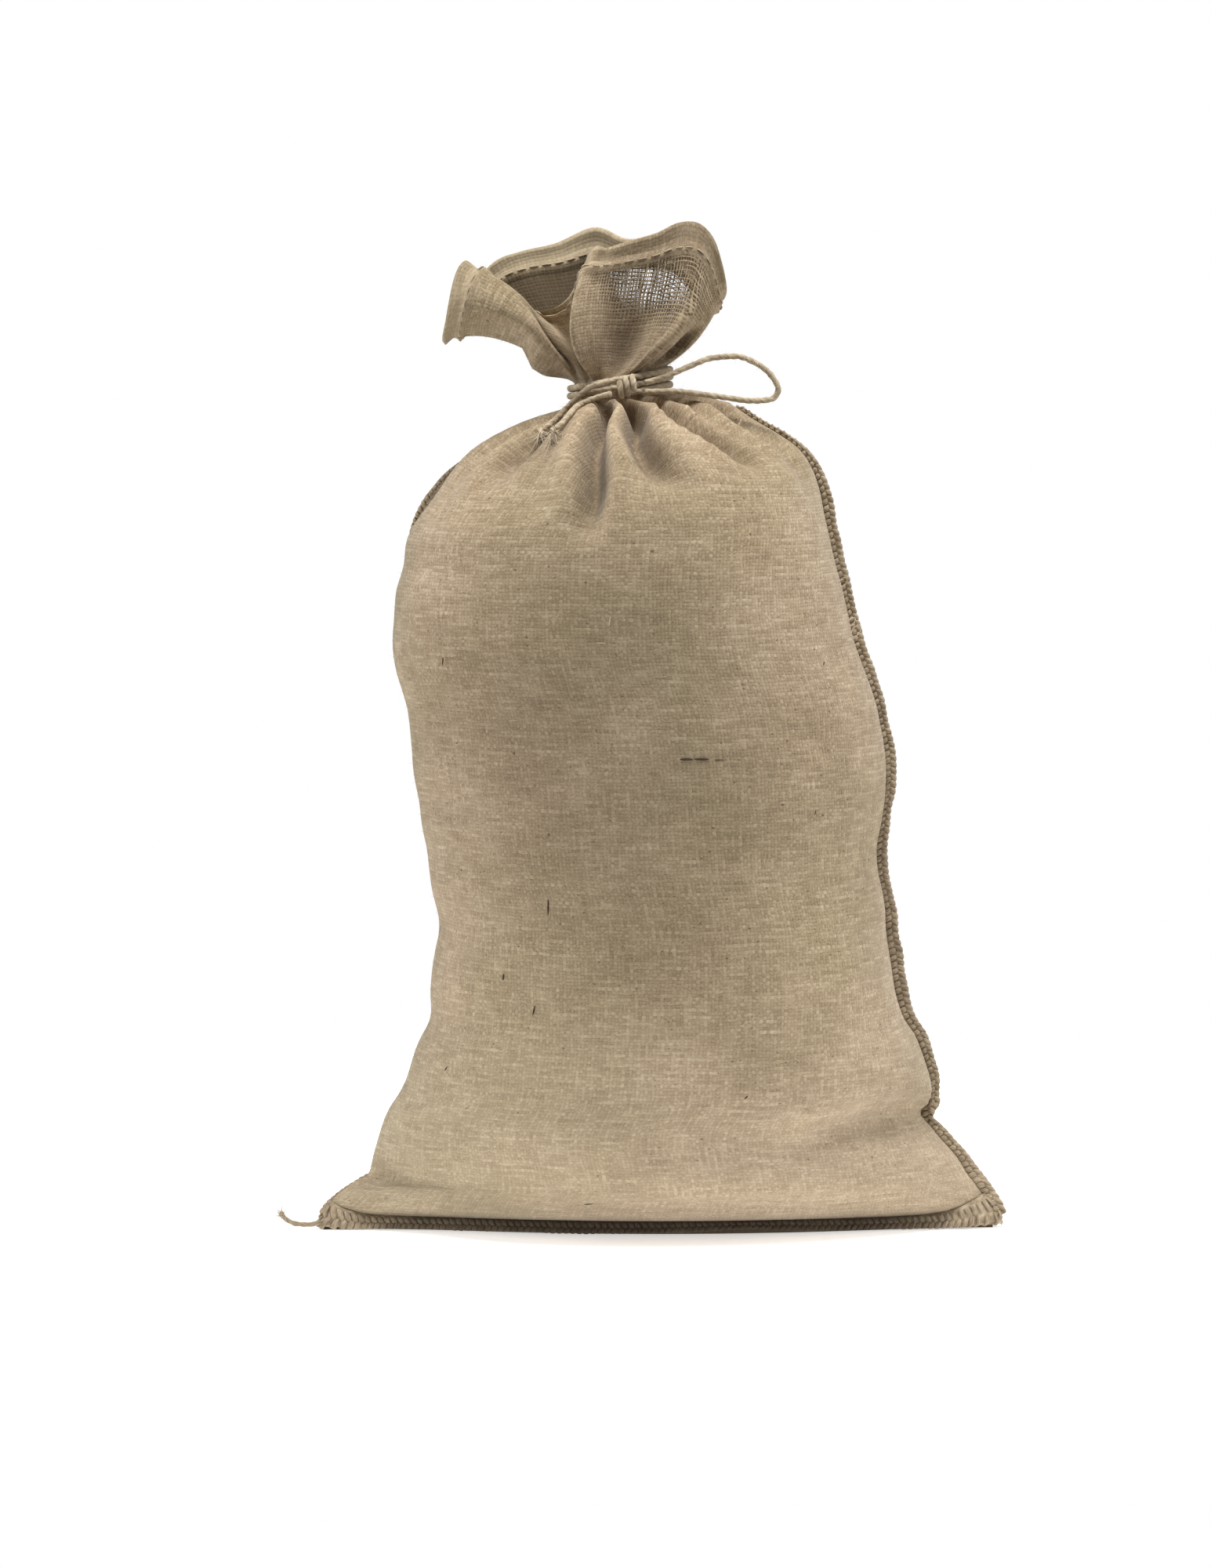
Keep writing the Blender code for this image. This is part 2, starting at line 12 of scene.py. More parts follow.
import bpy
import numpy as np
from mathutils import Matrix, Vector


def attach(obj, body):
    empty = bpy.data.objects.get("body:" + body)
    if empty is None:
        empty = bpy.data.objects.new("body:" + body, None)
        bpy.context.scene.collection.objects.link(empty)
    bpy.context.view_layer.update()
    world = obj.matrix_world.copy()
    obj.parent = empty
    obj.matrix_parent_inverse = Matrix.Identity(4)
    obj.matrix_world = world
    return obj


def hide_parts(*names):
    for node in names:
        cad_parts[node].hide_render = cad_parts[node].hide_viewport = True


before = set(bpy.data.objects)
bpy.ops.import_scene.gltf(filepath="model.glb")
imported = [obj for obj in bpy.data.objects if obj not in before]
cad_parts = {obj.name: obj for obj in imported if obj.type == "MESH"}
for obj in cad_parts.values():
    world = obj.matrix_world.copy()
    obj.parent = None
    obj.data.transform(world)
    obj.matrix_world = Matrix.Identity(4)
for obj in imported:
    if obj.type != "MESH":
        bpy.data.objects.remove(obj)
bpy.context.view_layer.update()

# ---------------------------------------------------------------------------
# The studio: a plain pale floor in soft light that comes from above and from both
# sides, and a camera with a long lens, a little above the middle of the sack.
PICTURE_HEIGHT = 0.960                    # metres from top to bottom at the sack
AIM = Vector((-0.0233, 0.0, 0.2726))
CAMERA_DISTANCE = 4.0
CAMERA_RISE = radians(4.0)
SENSOR = 24.0                             # mm
FLOOR_HALF = 0.95
FLOOR_COLOUR = (0.90, 0.90, 0.90, 1.0)
FLOOR_GLOW = 0.52                         # it is lit a little from below
ROOM_LIGHT = 0.12                         # brightness of the white room round the sack
Lamp = namedtuple("Lamp", "name place size watts")
LAMPS = [
    Lamp("lamp_above", (0.1, -0.45, 2.3), 1.0, 53.0),
    Lamp("lamp_left", (-2.2, -0.10, 0.9), 1.2, 26.0),
    Lamp("lamp_right", (2.2, -0.05, 0.9), 1.2, 25.0),
]

scene = bpy.context.scene
scene.view_settings.view_transform = "Standard"

camera = bpy.data.objects.new("camera", bpy.data.cameras.new("camera"))
away = Vector((0.0, -np.cos(CAMERA_RISE), np.sin(CAMERA_RISE)))
camera.location = AIM + away * CAMERA_DISTANCE
camera.rotation_euler = (-away).to_track_quat("-Z", "Y").to_euler()
camera.data.sensor_fit = "VERTICAL"
camera.data.sensor_height = SENSOR
camera.data.lens = SENSOR * CAMERA_DISTANCE / PICTURE_HEIGHT
scene.collection.objects.link(camera)
scene.camera = camera

for lamp in LAMPS:
    light = bpy.data.lights.new(lamp.name, "AREA")
    light.shape = "DISK"
    light.size = lamp.size
    light.energy = lamp.watts
    holder = bpy.data.objects.new(lamp.name, light)
    holder.location = lamp.place
    holder.rotation_euler = (AIM - Vector(lamp.place)).to_track_quat("-Z", "Y").to_euler()
    scene.collection.objects.link(holder)

room = bpy.data.worlds.new("room")
room.use_nodes = True
scene.world = room
room_light = room.node_tree.nodes["Background"]
room_light.inputs["Color"].default_value = (1.0, 1.0, 1.0, 1.0)
seen = room.node_tree.nodes.new("ShaderNodeLightPath")
brightness = room.node_tree.nodes.new("ShaderNodeMapRange")
brightness.inputs["To Min"].default_value = ROOM_LIGHT
brightness.inputs["To Max"].default_value = 1.0
room.node_tree.links.new(seen.outputs["Is Camera Ray"], brightness.inputs["Value"])
room.node_tree.links.new(brightness.outputs["Result"], room_light.inputs["Strength"])

floor_mesh = bpy.data.meshes.new("floor")
floor_corners = [(-FLOOR_HALF, -FLOOR_HALF, 0), (FLOOR_HALF, -FLOOR_HALF, 0),
                 (FLOOR_HALF, FLOOR_HALF, 0), (-FLOOR_HALF, FLOOR_HALF, 0)]
floor_mesh.from_pydata(floor_corners, [], [(0, 1, 2, 3)])
floor_paint = bpy.data.materials.new("floor_paint")
floor_paint.use_nodes = True
floor_shader = floor_paint.node_tree.nodes["Principled BSDF"]
floor_shader.inputs["Base Color"].default_value = FLOOR_COLOUR
floor_shader.inputs["Roughness"].default_value = 0.8
floor_shader.inputs["Emission Color"].default_value = (1.0, 1.0, 1.0, 1.0)
floor_shader.inputs["Emission Strength"].default_value = FLOOR_GLOW
floor_mesh.materials.append(floor_paint)
floor = bpy.data.objects.new("floor", floor_mesh)
scene.collection.objects.link(floor)

# ---------------------------------------------------------------------------
# The free twine: a bow's single loop on the right, and two cut ends that hang down
# on the left. It is jute, two plies twisted together, limp and hairy, about 4 mm.
MM = 0.001
MIDDLE = np.array([-9.65, -4.58, 0.0])    # the sack's foot is centred here in the tables
TWINE = 4.0                               # diameter
PLY_OFFSET = 0.13                         # centre of a ply, as a part of the radius
PLY_RADIUS = 0.80
TWIST_PITCH = 10.5                        # length of one turn of the two plies
UNEVEN = 0.06                             # how much its thickness varies, as a part of it
TWINE_STEP = 0.7                          # between the rings of a twine
TWINE_SIDES = 18
HAIR_RADIUS = 0.07                        # of a fibre that stands off the twine or the cloth
HAIR_CURL = 0.55                          # how far it bends aside, as a part of its length
HAIR_RINGS = 5
TUFT_RADIUS = 0.27                        # of the thicker fibres of a frayed end
TWINE_HAIRS = (1.6, 3.2)                  # how many stand on each mm, and how long they are
FRAY_WAY = (0.15, -0.55, -1.0)            # a frayed end hangs down, a little to the front
FRAY_LENGTH = 17.0
FRAY_SPREAD = 0.24
STREAKS = (220.0, 3.0, 14.0)              # fibres along it for a metre, aslant, and round it
CLOUDS = 150.0                            # darker places for a metre
YARN_STOPS = (0.30, 0.50, 0.70)           # the tones that have a yarn's three colours
YARN_RELIEF = 0.00016                     # metres that the fibres stand up in its surface
UV_SHIFT = 0.0137                         # metres
JUTE_DARK = (0.185, 0.132, 0.080, 1.0)
JUTE_MIDDLE = (0.450, 0.363, 0.247, 1.0)
JUTE_LIGHT = (0.690, 0.590, 0.440, 1.0)
FIBRE_PALE = (0.660, 0.565, 0.425, 1.0)
FIBRE_CLOUDS = 90.0
# the dark brown of painted shade on yarns
SHADE_DARK = (0.035, 0.026, 0.019, 1.0)

LOOP_ROUTE = [(-9, -34, 518), (4, -33, 522), (18, -31, 528), (32, -28, 533), (46, -25, 534),
              (58, -23, 530), (68, -21, 522), (72, -21, 514), (68, -22, 508), (56, -24, 507),
              (40, -27, 509), (22, -30, 511.5), (6, -33, 513), (-9, -35.5, 512.5)]
LONG_END_ROUTE = [(-30.5, -35, 518.5), (-38, -31, 517), (-44.5, -26, 514), (-50, -22.5, 508.8),
                  (-55.8, -22, 503.4), (-62, -28.5, 497.2), (-67, -34.5, 492.5), (-72, -38, 488.8)]
SHORT_END_ROUTE = [(-30, -41.5, 511.5), (-36, -36, 509.8), (-41.6, -32.5, 507.8), (-46.8, -33, 505.6),
                   (-50.8, -40, 503.4), (-54.5, -51, 499.4), (-59.3, -61, 494), (-64.4, -65.5, 489.8)]


class Wire:
    """A socket in a material's nodes. Arithmetic on it adds Math nodes."""

    def __init__(self, finish, socket):
        """Hold a socket of one finish's nodes."""
        self.finish = finish
        self.socket = socket

    def also(self, output):
        """Another output of the same node."""
        return Wire(self.finish, self.socket.node.outputs[output])

    def math(self, operation, other=0.0, third=0.0, turned=False):
        """This socket and others through a Math node, with the first two swapped when turned."""
        first, second = (other, self) if turned else (self, other)
        return self.finish.node("ShaderNodeMath", {"operation": operation}, {0: first, 1: second, 2: third})

    def __add__(self, other):
        return self.math("ADD", other)

    def __sub__(self, other):
        return self.math("SUBTRACT", other)

    def __rsub__(self, other):
        return self.math("SUBTRACT", other, turned=True)

    def __mul__(self, other):
        return self.math("MULTIPLY", other)

    def __truediv__(self, other):
        return self.math("DIVIDE", other)

    def __mod__(self, other):
        return self.math("FLOORED_MODULO", other)

    def __gt__(self, other):
        return self.math("GREATER_THAN", other)

    __radd__ = __add__
    __rmul__ = __mul__

    def over(self, other):
        """The larger of the two."""
        return self.math("MAXIMUM", other)

    def squared(self):
        """Its square."""
        return self.math("POWER", 2.0)

    def floor(self):
        """The whole number below it."""
        return self.math("FLOOR")

    def cosine(self):
        """Its cosine, from radians."""
        return self.math("COSINE")

    def ramp(self, low, high, to_low=0.0, to_high=1.0):
        """A smooth step: to_low up to low, to_high from high on."""
        sockets = {"Value": self, "From Min": low, "From Max": high, "To Min": to_low, "To Max": to_high}
        return self.finish.node("ShaderNodeMapRange", {"interpolation_type": "SMOOTHSTEP"}, sockets)


class Finish:
    """A material: a Principled shader with its constants, and the nodes that feed it."""

    def __init__(self, name, constants):
        """Start a material whose shader has these constant values."""
        self.material = bpy.data.materials.new(name)
        self.material.use_nodes = True
        self.nodes = self.material.node_tree.nodes
        self.shader = self.nodes["Principled BSDF"]
        for socket, value in constants.items():
            self.shader.inputs[socket].default_value = value

    def node(self, kind, settings, sockets, output=0):
        """Add a node: its settings first, then the values or links of its sockets."""
        node = self.nodes.new(kind)
        for setting, value in settings.items():
            setattr(node, setting, value)
        for socket, value in sockets.items():
            self.put(node.inputs[socket], value)
        return Wire(self, node.outputs[output])

    def put(self, socket, value):
        """Link a wire to a socket, or set the socket to a value."""
        if isinstance(value, Wire):
            self.material.node_tree.links.new(value.socket, socket)
        else:
            socket.default_value = value

    def feed(self, **sockets):
        """Link wires to the shader. A name's underscore stands for its space."""
        for name, wire in sockets.items():
            self.put(self.shader.inputs[name.replace("_", " ")], wire)

    def point(self, x, y, z):
        """A vector of three wires or numbers."""
        return self.node("ShaderNodeCombineXYZ", {}, {0: x, 1: y, 2: z})

    def cloth_place(self):
        """The piece's own UV: u first, and v as the next output."""
        place = self.node("ShaderNodeUVMap", {"uv_map": "cloth"}, {})
        return self.node("ShaderNodeSeparateXYZ", {}, {0: place})

    def object_place(self):
        """The point itself, in metres."""
        return self.node("ShaderNodeTexCoord", {}, {}, output="Object")

    def mark(self, name):
        """A named number that the piece's points carry, from 0 to 1."""
        return self.node("ShaderNodeAttribute", {"attribute_name": name}, {}, output="Fac")

    def noise(self, point, scale=1.0, detail=2.0):
        """Soft noise from 0 to 1, with detail finer and finer octaves."""
        sockets = {"Vector": point, "Scale": scale, "Detail": detail}
        return self.node("ShaderNodeTexNoise", {"noise_dimensions": "3D"}, sockets)

    def noise_at(self, x, y, z, detail):
        """Soft noise over x and y in the layer z."""
        return self.noise(self.point(x, y, z), 1.0, detail)

    def tint(self, factor, first, second, way="MIX"):
        """Colour first turned towards second by factor."""
        settings = {"data_type": "RGBA", "blend_type": way}
        return self.node("ShaderNodeMix", settings, {0: factor, 6: first, 7: second}, output=2)

    def shades(self, factor, *stops):
        """Colours along a ramp: each stop is a place and a colour."""
        node = self.nodes.new("ShaderNodeValToRGB")
        for index, (place, colour) in enumerate(stops):
            if index > 1:
                node.color_ramp.elements.new(place)
            node.color_ramp.elements[index].position = place
            node.color_ramp.elements[index].color = colour
        self.put(node.inputs["Fac"], factor)
        return Wire(self, node.outputs["Color"])

    def relief(self, height, depth):
        """Normals of a surface that stands up by height times depth, in metres."""
        return self.node("ShaderNodeBump", {}, {"Strength": 1.0, "Distance": depth, "Height": height})


def yarn_finish(name, dark, middle, light):
    """Spun jute: streaks of fibre that run along the yarn and slant round it.

    Its tone is 0.65 of the streaks and 0.35 of the clouds. Its shade mark, from 0 to 1,
    darkens a piece with painted shade where shadow falls on it.
    """
    finish = Finish(name, {"Roughness": 0.95, "Specular IOR Level": 0.15, "Sheen Weight": 0.10})
    along = finish.cloth_place()
    round_way = along.also(1)
    streaks = finish.noise_at(along * STREAKS[0] + round_way * STREAKS[1], round_way * STREAKS[2], 0.0, 3.0)
    cloudy = finish.noise(finish.object_place(), CLOUDS, 2.0)
    tone = streaks * 0.65 + cloudy * 0.35
    colour = finish.shades(tone, *zip(YARN_STOPS, (dark, middle, light)))
    # painted shade: the mark darkens the yarn where shadow falls
    finish.feed(Base_Color=finish.tint(finish.mark("soil"), colour, SHADE_DARK),
                Normal=finish.relief(streaks, YARN_RELIEF))
    return finish.material


def fibre_finish():
    """Single fibres: pale, a little shiny, and some darker than others."""
    finish = Finish("jute_fibre", {"Roughness": 0.80, "Specular IOR Level": 0.20})
    tone = finish.noise(finish.object_place(), FIBRE_CLOUDS)
    finish.feed(Base_Color=finish.shades(tone, (0.35, JUTE_MIDDLE), (0.60, FIBRE_PALE)))
    return finish.material


def cubic(part, start, leave, end, arrive, length=1.0):
    """Cubic from start to end, read at a part of its length, with its slopes at both."""
    rest = 1 - part
    return ((1 + 2 * part) * rest ** 2 * start + part * rest ** 2 * leave * length
            + part ** 2 * (3 - 2 * part) * end - part ** 2 * rest * arrive * length)


def pass_through(values, places):
    """Smooth curve through equally spaced rows, read at places counted in rows.

    Each stretch is a cubic whose slopes never overshoot the rows beside it: a row's
    slope is the harmonic mean of the steps before and after it, or none at a turn.
    """
    values = np.asarray(values, float)
    step = np.diff(values, axis=0)
    slope = np.zeros_like(values)
    slope[0] = step[0]
    slope[-1] = step[-1]
    before, after = step[:-1], step[1:]
    same_way = before * after > 0
    total = np.where(same_way, before + after, 1.0)
    slope[1:-1] = np.where(same_way, 2.0 * before * after / total, 0.0)
    first = np.clip(np.floor(places).astype(int), 0, len(values) - 2)
    part = (places - first)[:, None]
    return cubic(part, values[first], slope[first], values[first + 1], slope[first + 1])


def running_total(steps):
    """Sums of the steps so far along the last axis, from nought."""
    return np.concatenate((np.zeros(steps.shape[:-1] + (1,)), np.cumsum(steps, axis=-1)), axis=-1)


def length_along(line):
    """Length from the first point of a line to each of its points."""
    return running_total(np.linalg.norm(np.diff(line, axis=0), axis=1))


def read_at(places, length, vectors):
    """A line's vectors read at lengths along it, straight between its points."""
    return np.stack([np.interp(places, length, vectors[:, axis]) for axis in range(3)], axis=-1)


def even_line(points, step):
    """A line of points read again at equal steps of its length."""
    length = length_along(points)
    places = np.linspace(0, length[-1], max(int(length[-1] / step) + 1, 3))
    return read_at(places, length, points)


def unit(vectors):
    """Vectors brought to length one."""
    return vectors / np.linalg.norm(vectors, axis=-1, keepdims=True)


def tubes(centres, radius, reference, twist=0.0, sides=TWINE_SIDES):
    """Rings of a number of tubes, as (tube, ring, side) points.

    A ring stands square to its centre line. Its first side lies along the cross
    product of the reference and the line, turned on by the twist, and its radius
    may vary with ring and side.
    """
    run = unit(np.gradient(centres, axis=1))
    side = unit(np.cross(np.broadcast_to(reference, run.shape), run))
    up = np.cross(run, side)
    turn = 2 * pi * np.arange(sides) / sides + np.zeros(centres.shape[:2] + (1,)) + twist
    return (centres[:, :, None] + np.asarray(radius)[..., None]
            * (side[:, :, None] * np.cos(turn)[..., None] + up[:, :, None] * np.sin(turn)[..., None]))


def skin(name, points, uv, material, marks=None):
    """A mesh object over (tube, ring, side) points: four-sided faces, and a cap at each end.

    uv has one more side than points, for where the last side meets the first. marks
    are named numbers for each point, in the same order.
    """
    count, rings, sides = points.shape[:3]
    index = np.arange(count * rings * sides).reshape(count, rings, sides)
    after = np.roll(index, -1, axis=2)
    quads = np.stack((index[:, :-1], after[:, :-1], after[:, 1:], index[:, 1:]), axis=-1).reshape(-1, 4)
    caps = np.concatenate((index[:, 0, ::-1], index[:, -1]))
    corner_uv = np.stack((uv[:, :-1, :-1], uv[:, :-1, 1:], uv[:, 1:, 1:], uv[:, 1:, :-1]), axis=-2)
    cap_uv = np.concatenate((uv[:, 0, :-1][:, ::-1], uv[:, -1, :-1])).reshape(-1, 2)
    mesh = bpy.data.meshes.new(name)
    mesh.vertices.add(points.size // 3)
    mesh.vertices.foreach_set("co", ((points.reshape(-1, 3) - MIDDLE) * MM).ravel())
    mesh.loops.add(quads.size + caps.size)
    mesh.loops.foreach_set("vertex_index", np.concatenate((quads.ravel(), caps.ravel())))
    mesh.polygons.add(len(quads) + len(caps))
    sizes = np.concatenate((np.full(len(quads), 4), np.full(len(caps), sides)))
    mesh.polygons.foreach_set("loop_start", np.concatenate(([0], np.cumsum(sizes)[:-1])))
    layer = mesh.uv_layers.new(name="cloth")
    layer.data.foreach_set("uv", np.concatenate((corner_uv.ravel(), cap_uv.ravel())))
    for mark, values in (marks or {}).items():
        mesh.attributes.new(mark, "FLOAT", "POINT").data.foreach_set("value", np.ravel(values))
    mesh.update(calc_edges=True)
    mesh.shade_smooth()
    mesh.materials.append(material)
    piece = bpy.data.objects.new(name, mesh)
    scene.collection.objects.link(piece)
    return piece


def tube_uv(centres, sides):
    """Length along each tube in metres, and the part of a turn round it.

    Each tube starts a little further on than the last, so that no two look the same.
    """
    steps = np.linalg.norm(np.diff(centres, axis=1), axis=-1)
    along = running_total(steps) * MM + np.arange(len(centres))[:, None] * UV_SHIFT
    round_way = np.arange(sides + 1) / sides
    return np.stack(np.broadcast_arrays(along[:, :, None], round_way[None, None]), axis=-1)


def twisted(name, centre, reference, material, width=1.0, ends=(0.0, 0.0)):
    """A length of two-ply twine along a centre line.

    Its section is two circles side by side, which turn once in each twist pitch:
    seen from the middle, the outline is a cos(t) + sqrt(b^2 - a^2 sin^2(t)).
    ends narrow to a point over those lengths.
    """
    length = length_along(centre)
    twist = 2 * pi * length / TWIST_PITCH
    turn = 2 * pi * np.arange(TWINE_SIDES) / TWINE_SIDES
    offset = PLY_OFFSET * np.abs(np.cos(turn))
    outline = offset + np.sqrt(PLY_RADIUS ** 2 - (PLY_OFFSET * np.sin(turn)) ** 2)
    uneven = 1 + UNEVEN * np.sin(length * 0.7) * np.sin(length * 0.23 + 1)
    for place, reach in ((length, ends[0]), (length[-1] - length, ends[1])):
        if reach:
            uneven = uneven * np.clip(place / reach, 0.12, 1) ** 0.5
    radius = TWINE / 2 * width * outline[None, :] * uneven[:, None]
    points = tubes(centre[None], radius[None], reference, twist[None, :, None])
    return skin(name, points, tube_uv(centre[None], TWINE_SIDES), material)


def follow(route):
    """Close-spaced points along the smooth curve through a route."""
    route = np.asarray(route, float)
    return even_line(pass_through(route, np.linspace(0, len(route) - 1, 300)), TWINE_STEP)


def measured(centre):
    """A centre line's points and length in metres."""
    points = (centre - MIDDLE) * MM
    return points.tolist(), float(np.linalg.norm(np.diff(points, axis=0), axis=1).sum())


def hairs(name, roots, ways, length, radius, random, material):
    """Fibres that stand off a surface: each a thin three-sided tube that tapers and curls.

    A fibre leaves its root along its way and is bent aside by an amount that grows
    with the square of the place along it.
    """
    count = len(roots)
    place = np.linspace(0, 1, HAIR_RINGS)[None, :, None]
    aside = random.normal(0, HAIR_CURL, (count, 1, 3))
    reach = length * random.uniform(0.4, 1.0, (count, 1, 1))
    lines = roots[:, None] + reach * (ways[:, None] * place + aside * place ** 2)
    thickness = radius * (1.15 - place) * np.ones((count, 1, 3))
    reference = np.cross(ways, unit(random.normal(0, 1, (count, 3))))[:, None]
    return skin(name, tubes(lines, thickness, reference, sides=3), tube_uv(lines, 3), material)


def hairs_on_line(name, centre, per_mm, length, material, seed):
    """Fibres that stand off a twine along its whole length."""
    random = np.random.default_rng(seed)
    count = int(len(centre) * TWINE_STEP * per_mm)
    spot = random.integers(1, len(centre) - 1, count)
    run = unit(centre[spot + 1] - centre[spot - 1])
    ways = unit(np.cross(run, random.normal(0, 1, (count, 3))) + 0.9 * run)
    return hairs(name, centre[spot] + ways * TWINE * 0.3, ways, length, HAIR_RADIUS, random, material)


def tuft(name, tip, way, count, length, spread, material, seed):
    """The frayed end of a yarn: fibres that fan out from its tip."""
    random = np.random.default_rng(seed)
    ways = unit(np.asarray(way, float) + random.normal(0, spread, (count, 3)))
    roots = tip + random.normal(0, 0.5, (count, 3)) - ways * 1.5
    return hairs(name, roots, ways, length, TUFT_RADIUS, random, material)


def join(name, pieces):
    """Make one object of several."""
    with bpy.context.temp_override(active_object=pieces[0], selected_editable_objects=pieces):
        bpy.ops.object.join()
    pieces[0].name = name
    return pieces[0]


twine_jute = yarn_finish("twine_jute", JUTE_DARK, JUTE_MIDDLE, JUTE_LIGHT)
loose_jute = fibre_finish()
TOWARDS_FRONT = np.array([0.0, -1.0, 0.0])

# narrows is the length over which its end comes to a point, and fray the number of
# strands there. Every loose hair and strand goes into one piece at the end.
Free = namedtuple("Free", "name route far_end narrows fray seed")
FREE_TWINE = [
    Free("tie_loop", LOOP_ROUTE, "object", 0.0, 0, 1),
    Free("tie_end_long", LONG_END_ROUTE, "bare", 3.0, 110, 2),
    Free("tie_end_short", SHORT_END_ROUTE, "bare", 3.0, 70, 3),
]
fibres = []
for free in FREE_TWINE:
    centre = follow(free.route)
    piece = twisted(f"{free.name}_twine", centre, TOWARDS_FRONT, twine_jute, ends=(0.0, free.narrows))
    fibres.append(hairs_on_line(f"{free.name}_hairs", centre, *TWINE_HAIRS, loose_jute, free.seed))
    if free.fray:
        fibres.append(tuft(f"{free.name}_fray", centre[-1], FRAY_WAY, free.fray, FRAY_LENGTH,
                           FRAY_SPREAD, loose_jute, free.seed))
    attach(piece, "root")
    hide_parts(free.name)
    path, length = measured(centre)

# ---------------------------------------------------------------------------
# The tie: two and a half turns of the twine pulled tight round the neck, side by
# side and a little aslant, and the knot where they cross at the front.
NECK_MIDDLE = -24.0                       # its x
NECK_HALF = (28.0, 24.5)                  # sideways, and to the front
NECK_LEAN = 9.5                           # how much higher its right side is
GAP = 0.4                                 # between the cloth and the twine
WRAP_TURNS = 2.5
WRAP_POINTS = 420
WRAP_PITCH = 4.5                          # from turn to turn
WRAP_FOOT = 511.0
WRAP_WIDTH = 1.15                         # they are pulled flat against each other
KNOT_CENTRE = np.array([-20.0, -35.6, 516.0])
KNOT_HALF = (3.4, 4.9)                    # of its coil: deep and up
KNOT_TURNS = 2.3
KNOT_POINTS = 160
KNOT_PITCH = 3.9
WRAP_HAIRS = (0.8, 3.0)
UPRIGHT = np.array([0.0, 0.0, 1.0])
SIDEWAYS = np.array([1.0, 0.0, 0.0])

turn = np.linspace(0, WRAP_TURNS, WRAP_POINTS)
angle = 2 * pi * (turn + 0.75)
grow = TWINE / 2 + GAP
wraps = np.stack((NECK_MIDDLE + (NECK_HALF[0] + grow) * np.cos(angle),
                  (NECK_HALF[1] + grow) * np.sin(angle),
                  WRAP_FOOT + WRAP_PITCH * turn + NECK_LEAN / 2 * np.cos(angle)), axis=1)
tie_wraps = twisted("tie_wraps_twine", wraps, UPRIGHT, twine_jute, WRAP_WIDTH)
fibres.append(hairs_on_line("tie_wraps_hairs", wraps, *WRAP_HAIRS, loose_jute, 4))
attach(tie_wraps, "root")
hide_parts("tie_wraps")

turn = np.linspace(0, KNOT_TURNS, KNOT_POINTS)
angle = 2 * pi * (turn + 0.1)
off = KNOT_PITCH * (turn - KNOT_TURNS / 2)
coil = np.stack((off, -KNOT_HALF[0] * np.sin(angle),
                 KNOT_HALF[1] * np.cos(angle) + off * NECK_LEAN / NECK_HALF[0]), axis=1)
tie_knot = twisted("tie_knot_twine", KNOT_CENTRE + coil, SIDEWAYS, twine_jute)
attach(tie_knot, "root")
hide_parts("tie_knot")

# ---------------------------------------------------------------------------
# The cloth: hessian, a plain weave of single jute yarns, cut 0.86 by 0.70 m and
# sewn into a tube. It is packed tight below the tie and thin and open above it,
# where its top edge is turned down in a hem.
CLOTH_ROUND = 0.86                        # metres round the sack
FRONT_YARN = 0.72                         # the warp yarn that runs straight up is here
COLUMNS = 480
COLUMN_CENTRE = 0.68                      # the columns are closest together here
COLUMN_BUNCHING = 0.30
BACK_CUT = 0.222                          # where the first column is, at the back
BODY_RINGS = 112
MOUTH_RINGS = 40
MOUTH_LENGTH = 100.0
BASE_RINGS = 5
WALL = 1.1                                # thickness of the cloth above the tie
CUP_POINT = np.array([-41.0, 0.0, 522.0])  # where its inside closes, behind the tie
CROWDED_RINGS = 22                        # mouth rings whose folds are eased on the inside
EASE_PASSES = 24
EAR_START = 120.0                         # the bottom corners stand forward from here out
EAR_HEIGHT = 40.0
EAR_FORWARD = (20.0, 10.0)                # the left corner, and the right one
LUMPS = (0.8, 0.45, 0.10)                 # heights of the filling's wide, middling and small waves
LUMP_FADE = 60.0                          # they fade over this at the foot and below the neck
FOOT_EASE = 12.0                          # all relief grows over this above the foot

# The hem: a rolled edge, a groove, and a ridge over its sewing.
HEM_DEPTH = 16.0
HEM_ROLL = (1.6, 3.0)                     # its height and width
HEM_BAND = 0.5                            # how much thicker the folded cloth is
HEM_GROOVE = 0.9
GROOVE_PLACE = (0.52, 2.4)                # middle, as a part of the hem's depth, and width
HEM_RIDGE = (2.0, 2.0)
RIDGE_BACK = 2.6                          # from the ridge to the hem's inner edge

# The cloth's marks: where it is sheer, and where painted shade and a painted highlight lie on it.
SHEER_PLACE = (-2.0, 583.0, 40.0, 30.0)   # where the mouth is thinnest: x, z, half sizes
SHEER_FROM = (12.0, 10.0)                 # it starts this far above the neck, and grows over this
THIN_ANYWHERE = 0.10                      # how sheer the rest of the mouth is
FOOT_SHADE = (13.0, 8.0)                   # the foot is darkened with painted shade up to here, and it fades over this
NECK_SHADE = (0.14, 14.0, 16.0)            # painted shade just above the tie: strength, height above the neck's top, width
FOLD_SHADE = 0.110                         # painted shade for each mm that a fold of the mouth is deep
FOLD_DEEP = 8.0
PLEAT_SHADE = 0.036                        # painted shade for each mm that a pleat under the tie is deep
PLEAT_DEEP = 16.0
DENT_SHADE = 0.108                         # painted shade for each mm that a wrinkle under the tie is deep
DENT_DEEP = 4.0
DENT_FROM = (430.0, 20.0)
HEM_SHADE = (0.80, 0.07, 0.46)             # the hem's part with painted shade: around, width, strength
RIM_HIGHLIGHT = (0.33, 0.24, 0.30)             # its part with a painted highlight: around, width, strength
INSIDE_SHADE = (0.85, 80.0, 0.98)          # painted shade inside: just below the hem, how far down it gains one, and its most
